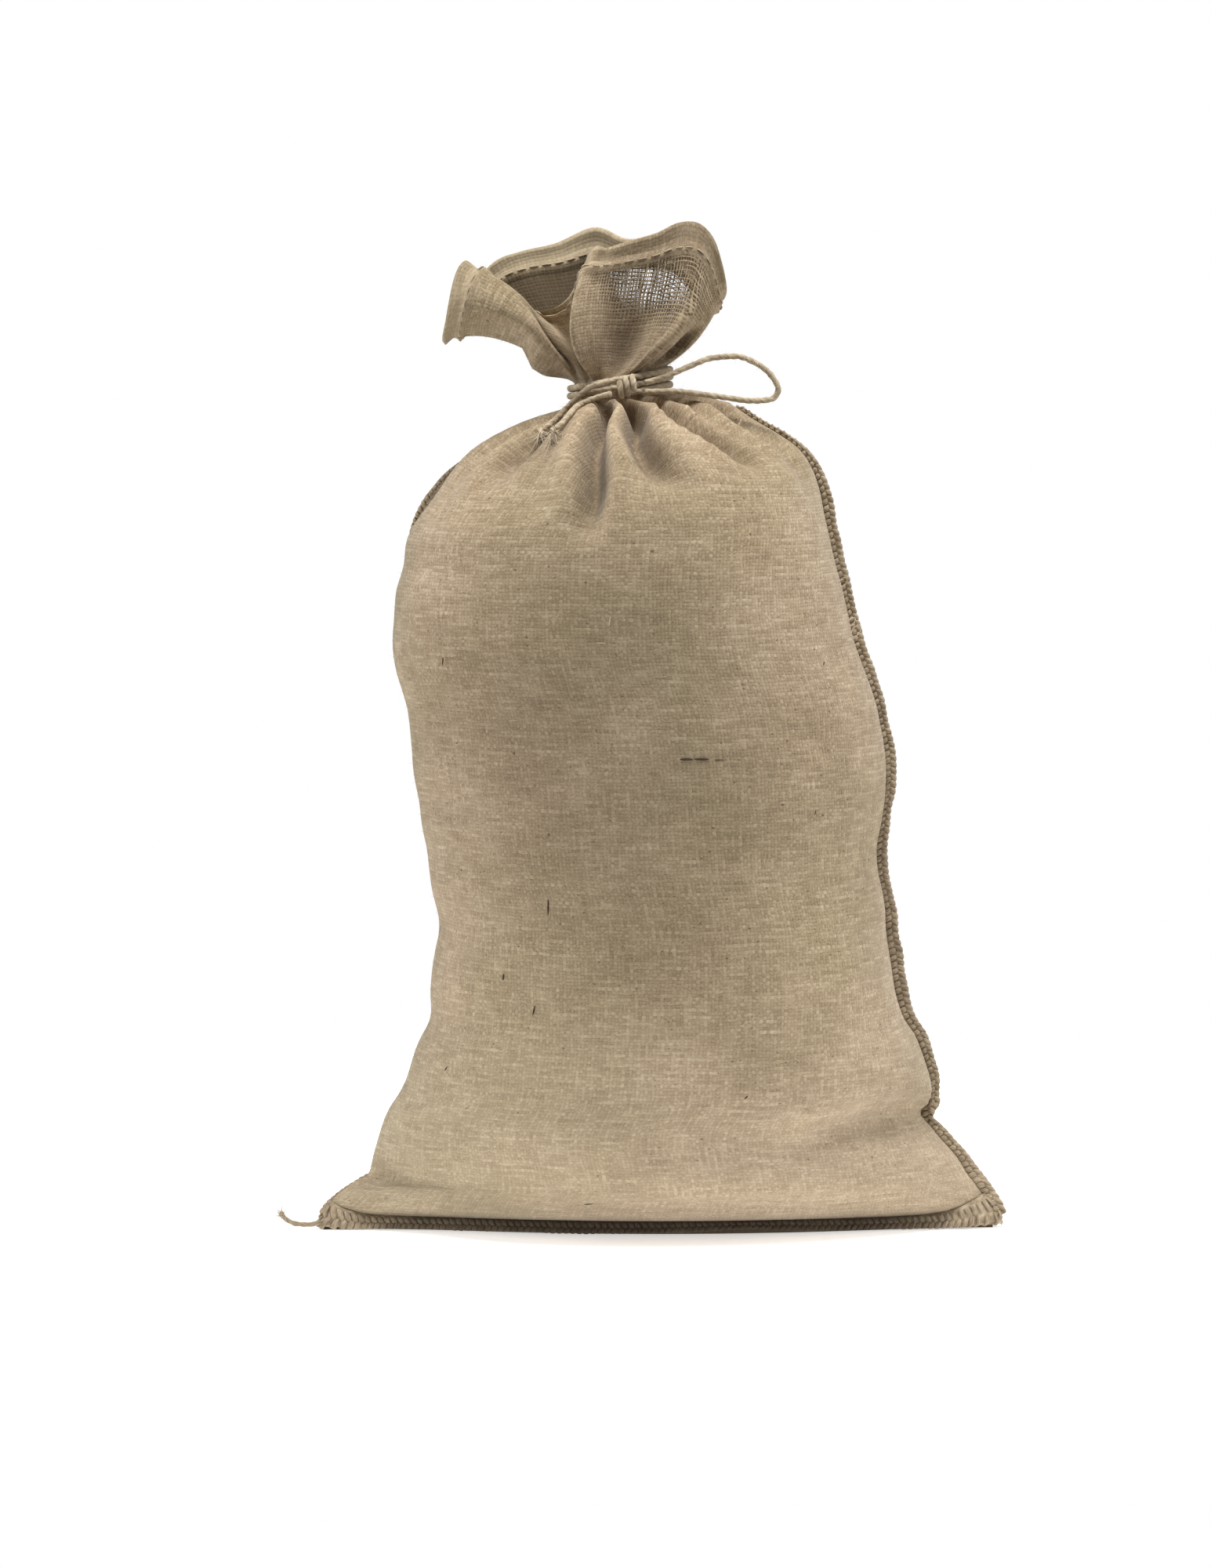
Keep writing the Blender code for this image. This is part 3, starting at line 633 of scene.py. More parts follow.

# The filled body, from the floor to the foot of the neck. left, right, front and
# back are its reach from the middle; corner is 1 for round sides and 2 for sides
# drawn to a point at the seams; lean is how much higher its right side is.
Section = namedtuple("Section", "level left right front back corner lean")
SECTIONS = [
    Section(0.0, 206, 205, 40, 66, 2.3, 0),
    Section(8.3, 206, 205, 40, 72, 2.3, 0),
    Section(9.5, 206, 205, 52, 76, 2.2, 0),
    Section(15, 203, 202, 74, 86, 1.9, 0),
    Section(27, 189, 193, 94, 98, 1.6, 0),
    Section(32, 179, 189, 100, 101, 1.5, 0),
    Section(42, 177, 183, 107, 107, 1.4, 0),
    Section(70, 168, 162, 118, 114, 1.2, 0),
    Section(88, 158, 167, 123, 118, 1.12, 0),
    Section(115, 149, 158, 129, 121, 1.06, 0),
    Section(132, 141, 148, 132, 123, 1, 0),
    Section(190, 136, 139, 136, 127, 1, 0),
    Section(228, 142, 134, 136, 127, 1, 0),
    Section(273, 150, 139, 134, 127, 1, 0),
    Section(316, 154, 134, 133, 126, 1, 0),
    Section(361, 163, 119, 131, 124, 1, 0),
    Section(412, 156, 107, 125, 117, 1, 0),
    Section(453, 135, 97, 108, 101, 1, 0),
    Section(476, 115, 85, 90, 84, 1, 0),
    Section(494, 84, 56, 64, 60, 1, 2),
    Section(503.5, 60, 38, 42, 39, 1, 6),
    Section(508, 52, 4, 24.5, 24.5, 1, 9),
    Section(515, 52, 4, 24.5, 24.5, 1, 9.5),
    Section(522.5, 52, 4, 24.5, 24.5, 1, 10),
]
NECK_TOP = SECTIONS[-1].level

# The mouth, one row for each fold of the cloth above the tie: the middle of the
# fold and its rim, as points.
Rib = namedtuple("Rib", "around mid_x mid_y mid_z rim_x rim_y rim_z")
RIBS = [
    Rib(0.020, 13, 24, 549, 27, 28, 585),
    Rib(0.080, 2, 26, 555, 15, 27, 603),
    Rib(0.150, -11, 20, 557, -1, 20, 606),
    Rib(0.220, -24, 30, 558, -20, 30, 605),
    Rib(0.290, -38, 32, 558, -40, 38, 612),
    Rib(0.350, -53, 24, 558, -64, 32, 602),
    Rib(0.400, -67, 20, 557, -85, 30, 597),
    Rib(0.440, -79, 20, 554, -102, 27, 590),
    Rib(0.470, -87, 16, 548, -116, 24, 572),
    Rib(0.500, -94, 2, 543, -131, 6, 543),
    Rib(0.535, -89, -28, 555, -128, -16, 562),
    Rib(0.570, -80, -22, 566, -119, -14, 590),
    Rib(0.590, -71, -14, 557, -103, -5, 575),
    Rib(0.612, -58, -7, 546, -80, 4, 561),
    Rib(0.633, -50, -18, 548, -55, -8, 568),
    Rib(0.652, -54, -43, 555, -40, -24, 597),
    Rib(0.672, -43, -36, 558, -32, -20, 599),
    Rib(0.700, -27, -20, 558, -19, -13, 603),
    Rib(0.735, -9, -17, 559, -2, -10, 608),
    Rib(0.765, 2, -22, 560, 11, -13, 614),
    Rib(0.795, 11, -35, 560, 23, -20, 614),
    Rib(0.825, 15, -31, 556, 31, -22, 606),
    Rib(0.860, 19, -12, 551, 37, -16, 590),
    Rib(0.905, 24, -3, 546, 39, -2, 574),
    Rib(0.960, 20, 12, 543, 35, 16, 569),
]

# Gathers and creases of the cloth: a valley from top to foot. Its full depth is
# reached half way up, and goes again at the top over a height called ease. bend is
# how late it turns towards its top. A negative depth is a swelling.
Crease = namedtuple("Crease", "around_top around_foot top foot bend width_top width_foot depth ease")
CREASES = [
    Crease(0.675, 0.722, 508, 416, 3, 0.018, 0.013, 20, 3),
    Crease(0.733, 0.792, 508, 450, 1, 0.022, 0.021, 19, 3),
    Crease(0.780, 0.872, 508, 462, 2, 0.024, 0.018, 15, 3),
    Crease(0.600, 0.618, 508, 446, 1, 0.022, 0.026, 12, 3),
    Crease(0.845, 0.925, 508, 462, 1, 0.020, 0.022, 5, 3),
    Crease(0.920, 0.965, 508, 440, 1, 0.026, 0.026, 5, 3),
    Crease(0.560, 0.555, 508, 440, 1, 0.024, 0.024, 5, 3),
    Crease(0.060, 0.070, 508, 420, 1, 0.030, 0.030, 8, 3),
    Crease(0.145, 0.140, 508, 400, 1, 0.030, 0.030, 9, 3),
    Crease(0.235, 0.245, 508, 415, 1, 0.030, 0.030, 9, 3),
    Crease(0.325, 0.325, 508, 395, 1, 0.030, 0.030, 9, 3),
    Crease(0.410, 0.390, 508, 420, 1, 0.030, 0.030, 8, 3),
    Crease(0.480, 0.460, 508, 450, 1, 0.026, 0.026, 4, 3),
    Crease(0.940, 0.880, 96, 56, 1, 0.060, 0.060, 7, 24),
    Crease(0.545, 0.570, 44, 22, 1, 0.050, 0.050, 5, 14),
    Crease(0.505, 0.480, 560, 523, 1, 0.040, 0.040, -8, 12),
    Crease(0.634, 0.630, 580, 514, 1, 0.010, 0.016, 7, 24),
    Crease(0.718, 0.726, 600, 500, 1, 0.032, 0.024, 7, 44),
    Crease(0.834, 0.776, 602, 514, 1, 0.013, 0.014, -5, 24),
    Crease(0.885, 0.838, 580, 514, 1, 0.018, 0.022, 7, 24),
    Crease(0.575, 0.570, 580, 514, 1, 0.012, 0.020, 5, 24),
]

# Soft wrinkles of the filled cloth: the middle of each, how it is turned from
# level, its length and width, and how deep its trough is.
Wrinkle = namedtuple("Wrinkle", "around level turn length width depth")
WRINKLES = [
    Wrinkle(0.540, 408, 4, 70, 11, 1.6),
    Wrinkle(0.560, 372, -3, 60, 10, 1.2),
    Wrinkle(0.550, 262, 5, 80, 13, 2.0),
    Wrinkle(0.575, 232, -4, 70, 12, 1.6),
    Wrinkle(0.540, 190, 8, 60, 12, 2.2),
    Wrinkle(0.555, 128, 10, 70, 14, 2.4),
    Wrinkle(0.990, 71, -14, 30, 5, 4.5),
    Wrinkle(0.955, 76, 6, 38, 6, 2.4),
    Wrinkle(0.930, 104, -12, 46, 9, 2.2),
    Wrinkle(0.930, 190, -10, 60, 13, 1.8),
    Wrinkle(0.940, 118, -14, 60, 14, 2.2),
    Wrinkle(0.920, 300, -6, 60, 14, 1.2),
    Wrinkle(0.870, 92, -8, 45, 12, 1.8),
    Wrinkle(0.700, 330, 3, 90, 18, 0.9),
    Wrinkle(0.820, 240, -5, 80, 16, 0.9),
    Wrinkle(0.640, 150, 6, 80, 17, 1.0),
    Wrinkle(0.630, 483, -35, 20, 11, 4.4),
    Wrinkle(0.660, 476, -55, 22, 11, 3.0),
    Wrinkle(0.300, 330, 5, 90, 16, 1.4),
    Wrinkle(0.180, 210, -6, 80, 15, 1.6),
    Wrinkle(0.350, 120, 8, 70, 14, 1.8),
]


def bell(off, width):
    """A smooth hump: exp(-(off / width)^2)."""
    return np.exp(-(off / width) ** 2)


def part_of(past, reach):
    """How much of a reach is past, from 0 to 1."""
    return np.clip(past / reach, 0, 1)


def round_the_turn(knots, values, around):
    """Smooth closed curve through unequally spaced rows, read at parts of a turn.

    Each stretch is a cubic whose slope at a row is that of the chord past it.
    """
    knots = np.asarray(knots, float)
    values = np.asarray(values, float)
    knots = np.concatenate(([knots[-1] - 1], knots, [knots[0] + 1, knots[1] + 1]))
    values = np.concatenate((values[-1:], values, values[:2]))
    slope = (values[2:] - values[:-2]) / (knots[2:] - knots[:-2])[:, None]
    around = (around - knots[1]) % 1.0 + knots[1]
    row = np.clip(np.searchsorted(knots, around, side="right") - 1, 1, len(knots) - 3)
    length = (knots[row + 1] - knots[row])[:, None]
    part = (around[:, None] - knots[row][:, None]) / length
    next_slope = np.concatenate((slope, slope[:1]))[row]
    return cubic(part, values[row], slope[row - 1], values[row + 1], next_slope, length)


def column_places():
    """Parts of a turn for the columns, closest together at the front pleats.

    Each is its even place less a part of the sine of its distance from the pleats.
    """
    even = BACK_CUT + np.arange(COLUMNS) / COLUMNS
    return even - COLUMN_BUNCHING / (2 * pi) * np.sin(2 * pi * (even - COLUMN_CENTRE))


def body_rings(around):
    """Rings of the filled body: an oval for each section, its sides drawn to the seams.

    x is right or left times the cosine, y is front or back times the sine to the
    power of corner. The rings are spread evenly over the height plus 4 mm a row.
    """
    fine = np.linspace(0, len(SECTIONS) - 1, 4000)
    cost = pass_through(SECTIONS, fine)[:, 0] + 4.0 * fine
    rows = pass_through(SECTIONS, np.interp(np.linspace(0, cost[-1], BODY_RINGS), cost, fine))
    level, left, right, front, back, corner, lean = [column[:, None] for column in rows.T]
    across = np.cos(2 * pi * around)
    deep = np.sin(2 * pi * around)
    x = (right - left) / 2 + (right + left) / 2 * across
    y = np.where(deep > 0, back, front) * deep * np.abs(deep) ** (corner - 1)
    return np.stack((x, y, level + lean * across / 2), axis=-1), level


def mouth_rings(around, neck):
    """Rings of the mouth: each rib is the parabola through its neck, middle and rim."""
    ribs = np.asarray(RIBS, float)
    middle = round_the_turn(ribs[:, 0], ribs[:, 1:4], around)
    rim = round_the_turn(ribs[:, 0], ribs[:, 4:7], around)
    along = (np.arange(MOUTH_RINGS) + 1.0)[:, None, None] / MOUTH_RINGS
    rings = (neck * (1 - along) * (1 - 2 * along) + middle * 4 * along * (1 - along)
             + rim * along * (2 * along - 1))
    return rings, NECK_TOP + MOUTH_LENGTH * along[:, :, 0]


def outward(rings):
    """Unit normals of a stack of closed rings that climb, anticlockwise from above."""
    round_way = np.roll(rings, -1, axis=1) - np.roll(rings, 1, axis=1)
    return unit(np.cross(round_way, np.gradient(rings, axis=0)))


def crease_depth(around, level):
    """Depth of all the creases: a valley with low banks, that grows smoothly from its foot.

    With o the distance off its centre line in widths, its depth is the full depth
    times (1 - 0.8 o^2) exp(-0.8 o^2), times a smooth step over its lower half.
    """
    depth = np.zeros(np.broadcast(around, level).shape)
    for crease in CREASES:
        along = part_of(level - crease.foot, crease.top - crease.foot)
        centre = crease.around_foot + (crease.around_top - crease.around_foot) * along ** crease.bend
        width = crease.width_foot + (crease.width_top - crease.width_foot) * along
        off = ((around - centre + 0.5) % 1.0 - 0.5) / width
        grown = np.clip(2 * along, 0, 1)
        strength = (3 - 2 * grown) * grown ** 2 * part_of(crease.top - level, crease.ease)
        depth += crease.depth * strength * (1 - 0.8 * off ** 2) * np.exp(-0.8 * off ** 2)
    return depth


def wrinkle_depth(around, level):
    """Depth of the soft wrinkles: each is a trough with a low ridge along its upper side.

    Along it the depth falls as exp(-(distance / length)^2). Across it, with o the
    distance in widths, it goes as exp(-o^2) - 0.6 exp(-(o - 1.7)^2).
    """
    depth = np.zeros(np.broadcast(around, level).shape)
    for wrinkle in WRINKLES:
        across = ((around - wrinkle.around + 0.5) % 1.0 - 0.5) * CLOTH_ROUND / MM
        up = level - wrinkle.level
        turn = radians(wrinkle.turn)
        far = (across * np.cos(turn) + up * np.sin(turn)) / wrinkle.length
        off = (up * np.cos(turn) - across * np.sin(turn)) / wrinkle.width
        depth += wrinkle.depth * np.exp(-far ** 2) * (np.exp(-off ** 2) - 0.6 * np.exp(-(off - 1.7) ** 2))
    return depth


def lumps(around, level):
    """A gentle unevenness of the filling: waves of several lengths that bend each other.

    Each is a sine of the place, whose start is shifted by another, longer sine.
    """
    across = around * CLOTH_ROUND / MM
    round_turns = 2 * pi * around
    wide = np.sin(3 * round_turns + level / 37 + np.sin(level / 23 + 2 * round_turns))
    middling = np.sin(8 * round_turns + 1.7 * np.sin(level / 19))
    middling = middling * np.sin(level / 11.5 + 2.0 * np.sin(5 * round_turns))
    small = np.sin(across / 4.7 + 2 * np.sin(level / 9.0)) * np.sin(level / 4.3 + 2 * np.sin(across / 13.0))
    packed = part_of(level, LUMP_FADE) * part_of(NECK_TOP - 20 - level, LUMP_FADE)
    return (LUMPS[0] * wide + LUMPS[1] * middling + LUMPS[2] * small) * packed


def hem_rise(below_rim, groove):
    """How far the hem stands out at a distance below the rim.

    The folded edge is a round roll. A groove follows, and then the ridge that the
    sewing pulls up, which ends in a step down to the single cloth.
    """
    roll = HEM_ROLL[0] * bell(below_rim, HEM_ROLL[1])
    band = HEM_BAND * part_of(HEM_DEPTH + 0.8 - below_rim, 1.2)
    hollow = groove * bell(below_rim - GROOVE_PLACE[0] * HEM_DEPTH, GROOVE_PLACE[1])
    ridge = HEM_RIDGE[0] * bell(below_rim - HEM_DEPTH + RIDGE_BACK, HEM_RIDGE[1])
    return roll + band - hollow + ridge


def ease_round(rings, passes):
    """Rings smoothed along their turn: each point becomes (before + 2 itself + after) / 4."""
    for _ in range(passes):
        rings = (np.roll(rings, 1, axis=1) + 2 * rings + np.roll(rings, -1, axis=1)) / 4
    return rings


# The outside: plain rings with the corners brought forward, and then the hem, the
# gathers, the creases and the filling's unevenness, square to their surface.
around = column_places()[None, :]
body, body_level = body_rings(around[0])
mouth, mouth_level = mouth_rings(around[0], body[-1])
plain = np.concatenate((body, mouth))
level = np.concatenate((body_level, mouth_level))
corner = part_of(np.abs(plain[..., 0]) - EAR_START, SECTIONS[0].left - EAR_START) ** 2
corner = corner * bell(level, EAR_HEIGHT)
plain[..., 1] -= corner * np.where(plain[..., 0] < 0, EAR_FORWARD[0], EAR_FORWARD[1])
below_rim = NECK_TOP + MOUTH_LENGTH - level
folds = crease_depth(around, level)
dents = wrinkle_depth(around, level)
waves = lumps(around, level) - folds - dents
relief = (hem_rise(below_rim, HEM_GROOVE) + waves) * part_of(level - SECTIONS[1].level, FOOT_EASE)
outer = plain + outward(plain) * relief[..., None]

# The inside of the mouth, one thickness of cloth in, its tightest folds eased.
inward = -unit(ease_round(outward(plain), 3))
first_open = BODY_RINGS
crowding = np.clip(1 - (np.arange(len(plain)) - first_open) / CROWDED_RINGS, 0, 1)[:, None, None]
eased = ease_round(plain, EASE_PASSES)
inner_rise = WALL + hem_rise(below_rim, 0.0)[..., None] * np.ones((1, COLUMNS, 1))
inner = plain + (eased - plain) * crowding + inward * (inner_rise - waves[..., None])

# One closed skin: under the foot, up the outside, over the lip and down the inside.
climb = unit(outer[-1] - outer[-2])
lip = (outer[-1] + inner[-1]) / 2 + climb * WALL * 0.9
inside = inner[:first_open:-1]
closing = CUP_POINT + (inside[-1] - CUP_POINT) * 0.05
shrink = np.linspace(0.02, 1, BASE_RINGS, endpoint=False)[:, None, None]
base = outer[0] * [1, 1, 0] * shrink
cloth_points = np.concatenate((base, outer, lip[None], inside, closing[None]))

# The cloth's own places in metres along its yarns, which the weave is drawn on. The
# warp yarns of the mouth are spaced as they are three quarters of the way up it.
step_up = np.linalg.norm(np.diff(outer, axis=0), axis=-1).mean(axis=1)
up = running_total(step_up)[:, None] * MM
step_round = np.linalg.norm(np.roll(outer, -1, axis=1) - outer, axis=-1)
across = running_total(step_round) * MM
front_column = np.argmin(np.abs(around[0] - FRONT_YARN))
across = across - across[:, front_column:front_column + 1]
across[first_open:] = across[first_open + 3 * MOUTH_RINGS // 4]
outer_uv = np.stack(np.broadcast_arrays(across, up), axis=-1)
base_uv = outer_uv[:1] + [0, -1] * (1 - shrink) * 0.1
cloth_uv = np.concatenate((base_uv, outer_uv, outer_uv[-1:], outer_uv[:first_open:-1],
                           outer_uv[first_open:first_open + 1]))

# The marks of each point of the cloth, from 0 to 1: sheer, painted highlight and painted shade.
below_neck, in_hem = level < NECK_TOP, below_rim < HEM_DEPTH
every_column = np.ones((1, COLUMNS))
single = part_of(level - NECK_TOP - SHEER_FROM[0], SHEER_FROM[1])
single = single * np.clip(below_rim - HEM_DEPTH - 0.5, 0, 1)
far_x = (outer[..., 0] - SHEER_PLACE[0]) / SHEER_PLACE[2]
far_z = (outer[..., 2] - SHEER_PLACE[1]) / SHEER_PLACE[3]
thin = single * (THIN_ANYWHERE + (1 - THIN_ANYWHERE) * np.exp(-(far_x ** 2 + far_z ** 2) ** 2))
# Painted shade in the creases: the deeper a fold, pleat or wrinkle, the darker it is.
pleat_shade = PLEAT_SHADE * np.clip(folds, 0, PLEAT_DEEP)
dent_shade = DENT_SHADE * np.clip(dents, 0, DENT_DEEP) * part_of(level - DENT_FROM[0], DENT_FROM[1])
# Painted shade in the hollows of the mouth just above the tie.
neck_shade = NECK_SHADE[0] * bell(level - NECK_TOP - NECK_SHADE[1], NECK_SHADE[2])
# Painted shade: the foot is darkened where the belly shades it.
soil = part_of(FOOT_SHADE[0] - level, FOOT_SHADE[1]) * every_column
soil = soil + neck_shade * (level > NECK_TOP - 4)
soil = soil + FOLD_SHADE * np.clip(folds, 0, FOLD_DEEP) * (level > NECK_TOP)
soil = soil + (pleat_shade + dent_shade) * below_neck
# Painted shade on the hem at the front right of the mouth.
soil = soil + HEM_SHADE[2] * bell(around - HEM_SHADE[0], HEM_SHADE[1]) * in_hem
# Painted shade on the inside of the mouth, deeper further down.
inside_shade = INSIDE_SHADE[0] + (below_rim - HEM_DEPTH) / INSIDE_SHADE[1]
inside_shade = np.clip(inside_shade, INSIDE_SHADE[0], INSIDE_SHADE[2]) * every_column
inside_shade = inside_shade * (below_rim > HEM_DEPTH - 1)
# A painted highlight along the hem's rim, over the back and the left.
rim_highlight = RIM_HIGHLIGHT[2] * np.exp(-((around % 1.0 - RIM_HIGHLIGHT[0]) / RIM_HIGHLIGHT[1]) ** 4) * in_hem
# The underside gets full painted shade, and the closing of the mouth's cup 0.8 of it.
under, cup = np.ones((BASE_RINGS, COLUMNS)), np.zeros((1, COLUMNS))
marks = {"rim_highlight": np.concatenate((under * 0, rim_highlight, rim_highlight[-1:], rim_highlight[:first_open:-1], cup)),
         "sheer": np.concatenate((under * 0, thin, thin[-1:], thin[:first_open:-1], cup)),
         "soil": np.concatenate((under, soil, soil[-1:], inside_shade[:first_open:-1], cup + 0.8))}

WARP_PITCH = 0.00231                      # metres from yarn to yarn across the cloth
WEFT_PITCH = 0.00212                      # and up it
HESSIAN_DARK = (0.130, 0.090, 0.052, 1.0)
HESSIAN_MIDDLE = (0.345, 0.265, 0.168, 1.0)
HESSIAN_LIGHT = (0.610, 0.510, 0.360, 1.0)
HESSIAN_STOPS = (0.18, 0.50, 0.80)        # the shades that have these colours
# The dark brown of painted shade on the cloth.
SHADE_BROWN = (0.070, 0.047, 0.028, 1.0)
FRONT_SHADE = (0.150, 0.115, 0.085, 1.0)
FRONT_SHADE_PLACE = (-0.015, 0.290, 0.150, 0.185)  # a broad patch of painted shade on the front: x, z, half sizes, in metres
FRONT_SHADE_STRENGTH = 0.26
BOUNCE_LIGHT = (0.640, 0.560, 0.440, 1.0)         # painted bounce light from the floor, strongest at the foot
BOUNCE_HEIGHTS = (0.02, 0.200)              # metres: it fades from the first to the second
BOUNCE_STRENGTH = 0.14
YARN_SWAY = (30.0, 1.6)                   # bends for a metre, and by how many yarns
YARN_TO_YARN = 1.7                        # how far the tone changes from one yarn to the next
WARP_DRIFT = 0.16                         # how fast a yarn's tone changes from crossing to crossing
WEFT_DRIFT = 0.11
YARN_THICK = (0.95, 0.72)                 # part of the pitch, and how much less where it is sheer
YARN_UNEVEN = 1.2
ROUND_PART, CROSSING_PART = 0.65, 0.35    # of a yarn's height
HEIGHT_RANGE = (-0.1, 1.0)
HEIGHT_MIDDLE = 0.6
FIBRE_RELIEF = 0.6                        # how high the fibres are, next to the yarns
FIBRE_GRAIN = (700.0, 900.0)              # fibres for a metre, across and up
FLECK_GRAIN = (260.0, 420.0)
PATCH_GRAIN = 14.0
CAST_GRAIN = 7.0
TONE_PART, WEFT_PART, FIBRE_PART, GAP_SHADE_PART, PATCH_PART = 0.55, 0.13, 0.45, 0.10, 0.25
FLECK_PART = 0.3
FLECK_EDGE = (0.70, 0.78)                 # noise values between which a fleck sets in
CAST_EDGE = (0.35, 0.65)                  # and between which the cast turns from olive to pink
GAP_EDGE = (-0.05, 0.22)                  # yarn heights between which the gap opens
OLIVE_CAST = (0.94, 0.95, 0.90, 1.0)
PINK_CAST = (1.00, 0.97, 0.97, 1.0)
SHADE_COVER = 0.84                         # how much of the colour the deepest painted shade hides


def weave(finish, metres_across, metres_up, sheer):
    """Height, tone and gaps of a plain weave, whose yarns go over and under each other in turn.

    A yarn's height is that of its round section, 1 - (off / thickness)^2, and the
    cosine of the place between two crossings, added where it goes over and taken
    away where it goes under. The higher of warp and weft shows. Each has its own
    tone and thickness, which drift slowly along it. The weft's tone is given as well.
    """
    bends, reach = YARN_SWAY
    drift = finish.noise_at(metres_across * bends, metres_up * bends, 0.0, 2.0)
    sway = finish.noise_at(metres_across * bends, metres_up * bends, 9.0, 2.0)
    across = metres_across / WARP_PITCH + drift * reach
    up = metres_up / WEFT_PITCH + sway * reach
    warp_number, weft_number = across.floor(), up.floor()
    warp_off = across - warp_number - 0.5
    weft_off = up - weft_number - 0.5
    over = 1 - 2 * ((warp_number + weft_number) % 2.0)
    warp_tone = finish.noise_at(warp_number * YARN_TO_YARN, up * WARP_DRIFT, 1.0, 4.0)
    weft_tone = finish.noise_at(across * WEFT_DRIFT, weft_number * YARN_TO_YARN, 5.0, 4.0)
    slim = YARN_THICK[0] - YARN_THICK[1] * sheer
    warp_round = 1 - ((warp_off * 2.0) / (slim + (warp_tone - 0.5) * YARN_UNEVEN)).squared()
    weft_round = 1 - ((weft_off * 2.0) / (slim + (weft_tone - 0.5) * YARN_UNEVEN)).squared()
    warp_high = warp_round * ROUND_PART + over * (weft_off * pi).cosine() * CROSSING_PART
    weft_high = weft_round * ROUND_PART - over * (warp_off * pi).cosine() * CROSSING_PART
    high = warp_high.over(weft_high).ramp(*HEIGHT_RANGE)
    tone = weft_tone + (warp_high > weft_high) * (warp_tone - weft_tone)
    gap = 1 - warp_round.over(weft_round).ramp(*GAP_EDGE)
    return high, tone, weft_tone, gap


def painted_light(finish, colour, place):
    """A colour with painted light on it: a broad painted shade on the front, painted bounce light low down,
    a painted highlight on the rim, and painted shade where the mark asks for it.
    """
    x = finish.node("ShaderNodeSeparateXYZ", {}, {0: place})
    z = x.also(2)
    # Painted shade: a broad darker patch over the middle of the front, which gets less light.
    off_middle = ((x - FRONT_SHADE_PLACE[0]) / FRONT_SHADE_PLACE[2]).squared()
    off_middle = off_middle + ((z - FRONT_SHADE_PLACE[1]) / FRONT_SHADE_PLACE[3]).squared()
    colour = finish.tint(off_middle.ramp(0.0, 1.0, FRONT_SHADE_STRENGTH, 0.0), colour, FRONT_SHADE)
    # painted bounce light: the cloth is lighter towards the floor
    colour = finish.tint(z.ramp(*BOUNCE_HEIGHTS, BOUNCE_STRENGTH, 0.0), colour, BOUNCE_LIGHT)
    # painted highlight on the rim
    colour = finish.tint(finish.mark("rim_highlight"), colour, HESSIAN_LIGHT)
    # painted shade: the mark darkens the cloth where shadow falls
    return finish.tint(finish.mark("soil") * SHADE_COVER, colour, SHADE_BROWN)


def hessian_finish():
    """The cloth: woven jute in patches and two casts of colour, with fibres and flecks, and painted shade
    and highlights.

    Where it is sheer, the gaps between the yarns are open.
    """
    finish = Finish("hessian", {"Roughness": 0.95, "Specular IOR Level": 0.12, "Sheen Weight": 0.12})
    metres_across = finish.cloth_place()
    metres_up = metres_across.also(1)
    sheer = finish.mark("sheer")
    high, tone, weft_tone, gap = weave(finish, metres_across, metres_up, sheer)
    fibre = finish.noise_at(metres_across * FIBRE_GRAIN[0], metres_up * FIBRE_GRAIN[1], 0.0, 3.0)
    fleck = finish.noise_at(metres_across * FLECK_GRAIN[0], metres_up * FLECK_GRAIN[1], 3.0, 1.0)
    place = finish.object_place()
    patch = finish.noise(place, PATCH_GRAIN, 3.0)
    shade = 0.5 + (tone - 0.5) * TONE_PART + (weft_tone - 0.5) * WEFT_PART + (fibre - 0.5) * FIBRE_PART
    # painted shade in the weave: the low places between the yarns are darker, their tops lighter
    shade = shade + (high - HEIGHT_MIDDLE) * GAP_SHADE_PART + (patch - 0.5) * PATCH_PART
    shade = shade - fleck.ramp(*FLECK_EDGE) * FLECK_PART
    colour = finish.shades(shade, *zip(HESSIAN_STOPS, (HESSIAN_DARK, HESSIAN_MIDDLE, HESSIAN_LIGHT)))
    warm = finish.noise(place, CAST_GRAIN, 2.0)
    colour = finish.tint(warm.ramp(*CAST_EDGE), finish.tint(1.0, colour, OLIVE_CAST, "MULTIPLY"),
                         finish.tint(1.0, colour, PINK_CAST, "MULTIPLY"))
    # The cloth's colour gets its painted shade and painted light here.
    finish.feed(Base_Color=painted_light(finish, colour, place), Alpha=1 - gap * sheer,
                Normal=finish.relief(high + fibre * FIBRE_RELIEF, YARN_RELIEF))
    return finish.material


hessian = hessian_finish()
sack = skin("sack_hessian", cloth_points[None], cloth_uv[None], hessian, marks)
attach(sack, "root")
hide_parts("sack_cloth")

# ---------------------------------------------------------------------------
# The sewn edges: the two selvedges at each side, and the folded bottom edge, are
# laid together and overcast with a dark jute yarn. They stand out as a flat braid,
# whose stitches slant one way along its edge and the other way along its root.
SEAM_CORE = 1.6                           # thickness of the two selvedges
STITCH_PITCH = 4.1                        # from one turn of the overcasting to the next
STITCH_YARN = (0.75, 1.75)                # its flat yarn: half thickness and half width
STITCH_STEPS = 14                         # rings of yarn for each turn
STITCH_SIDES = 8
STITCH_WANDER = ((0.05, 0.37), (0.03, 1.3))  # its unevenness: how much, and radians a turn
BRAID_BAR = np.array([(-0.10, -0.5), (0.25, -1.0), (0.75, -1.0), (0.90, -0.5),
                      (0.90, 0.5), (0.75, 1.0), (0.25, 1.0), (-0.10, 0.5)])
SEAM_DARK = (0.150, 0.108, 0.064, 1.0)
SEAM_MIDDLE = (0.375, 0.295, 0.198, 1.0)
SEAM_LIGHT = (0.620, 0.515, 0.375, 1.0)
Column = namedtuple("Column", "middle half way_round")
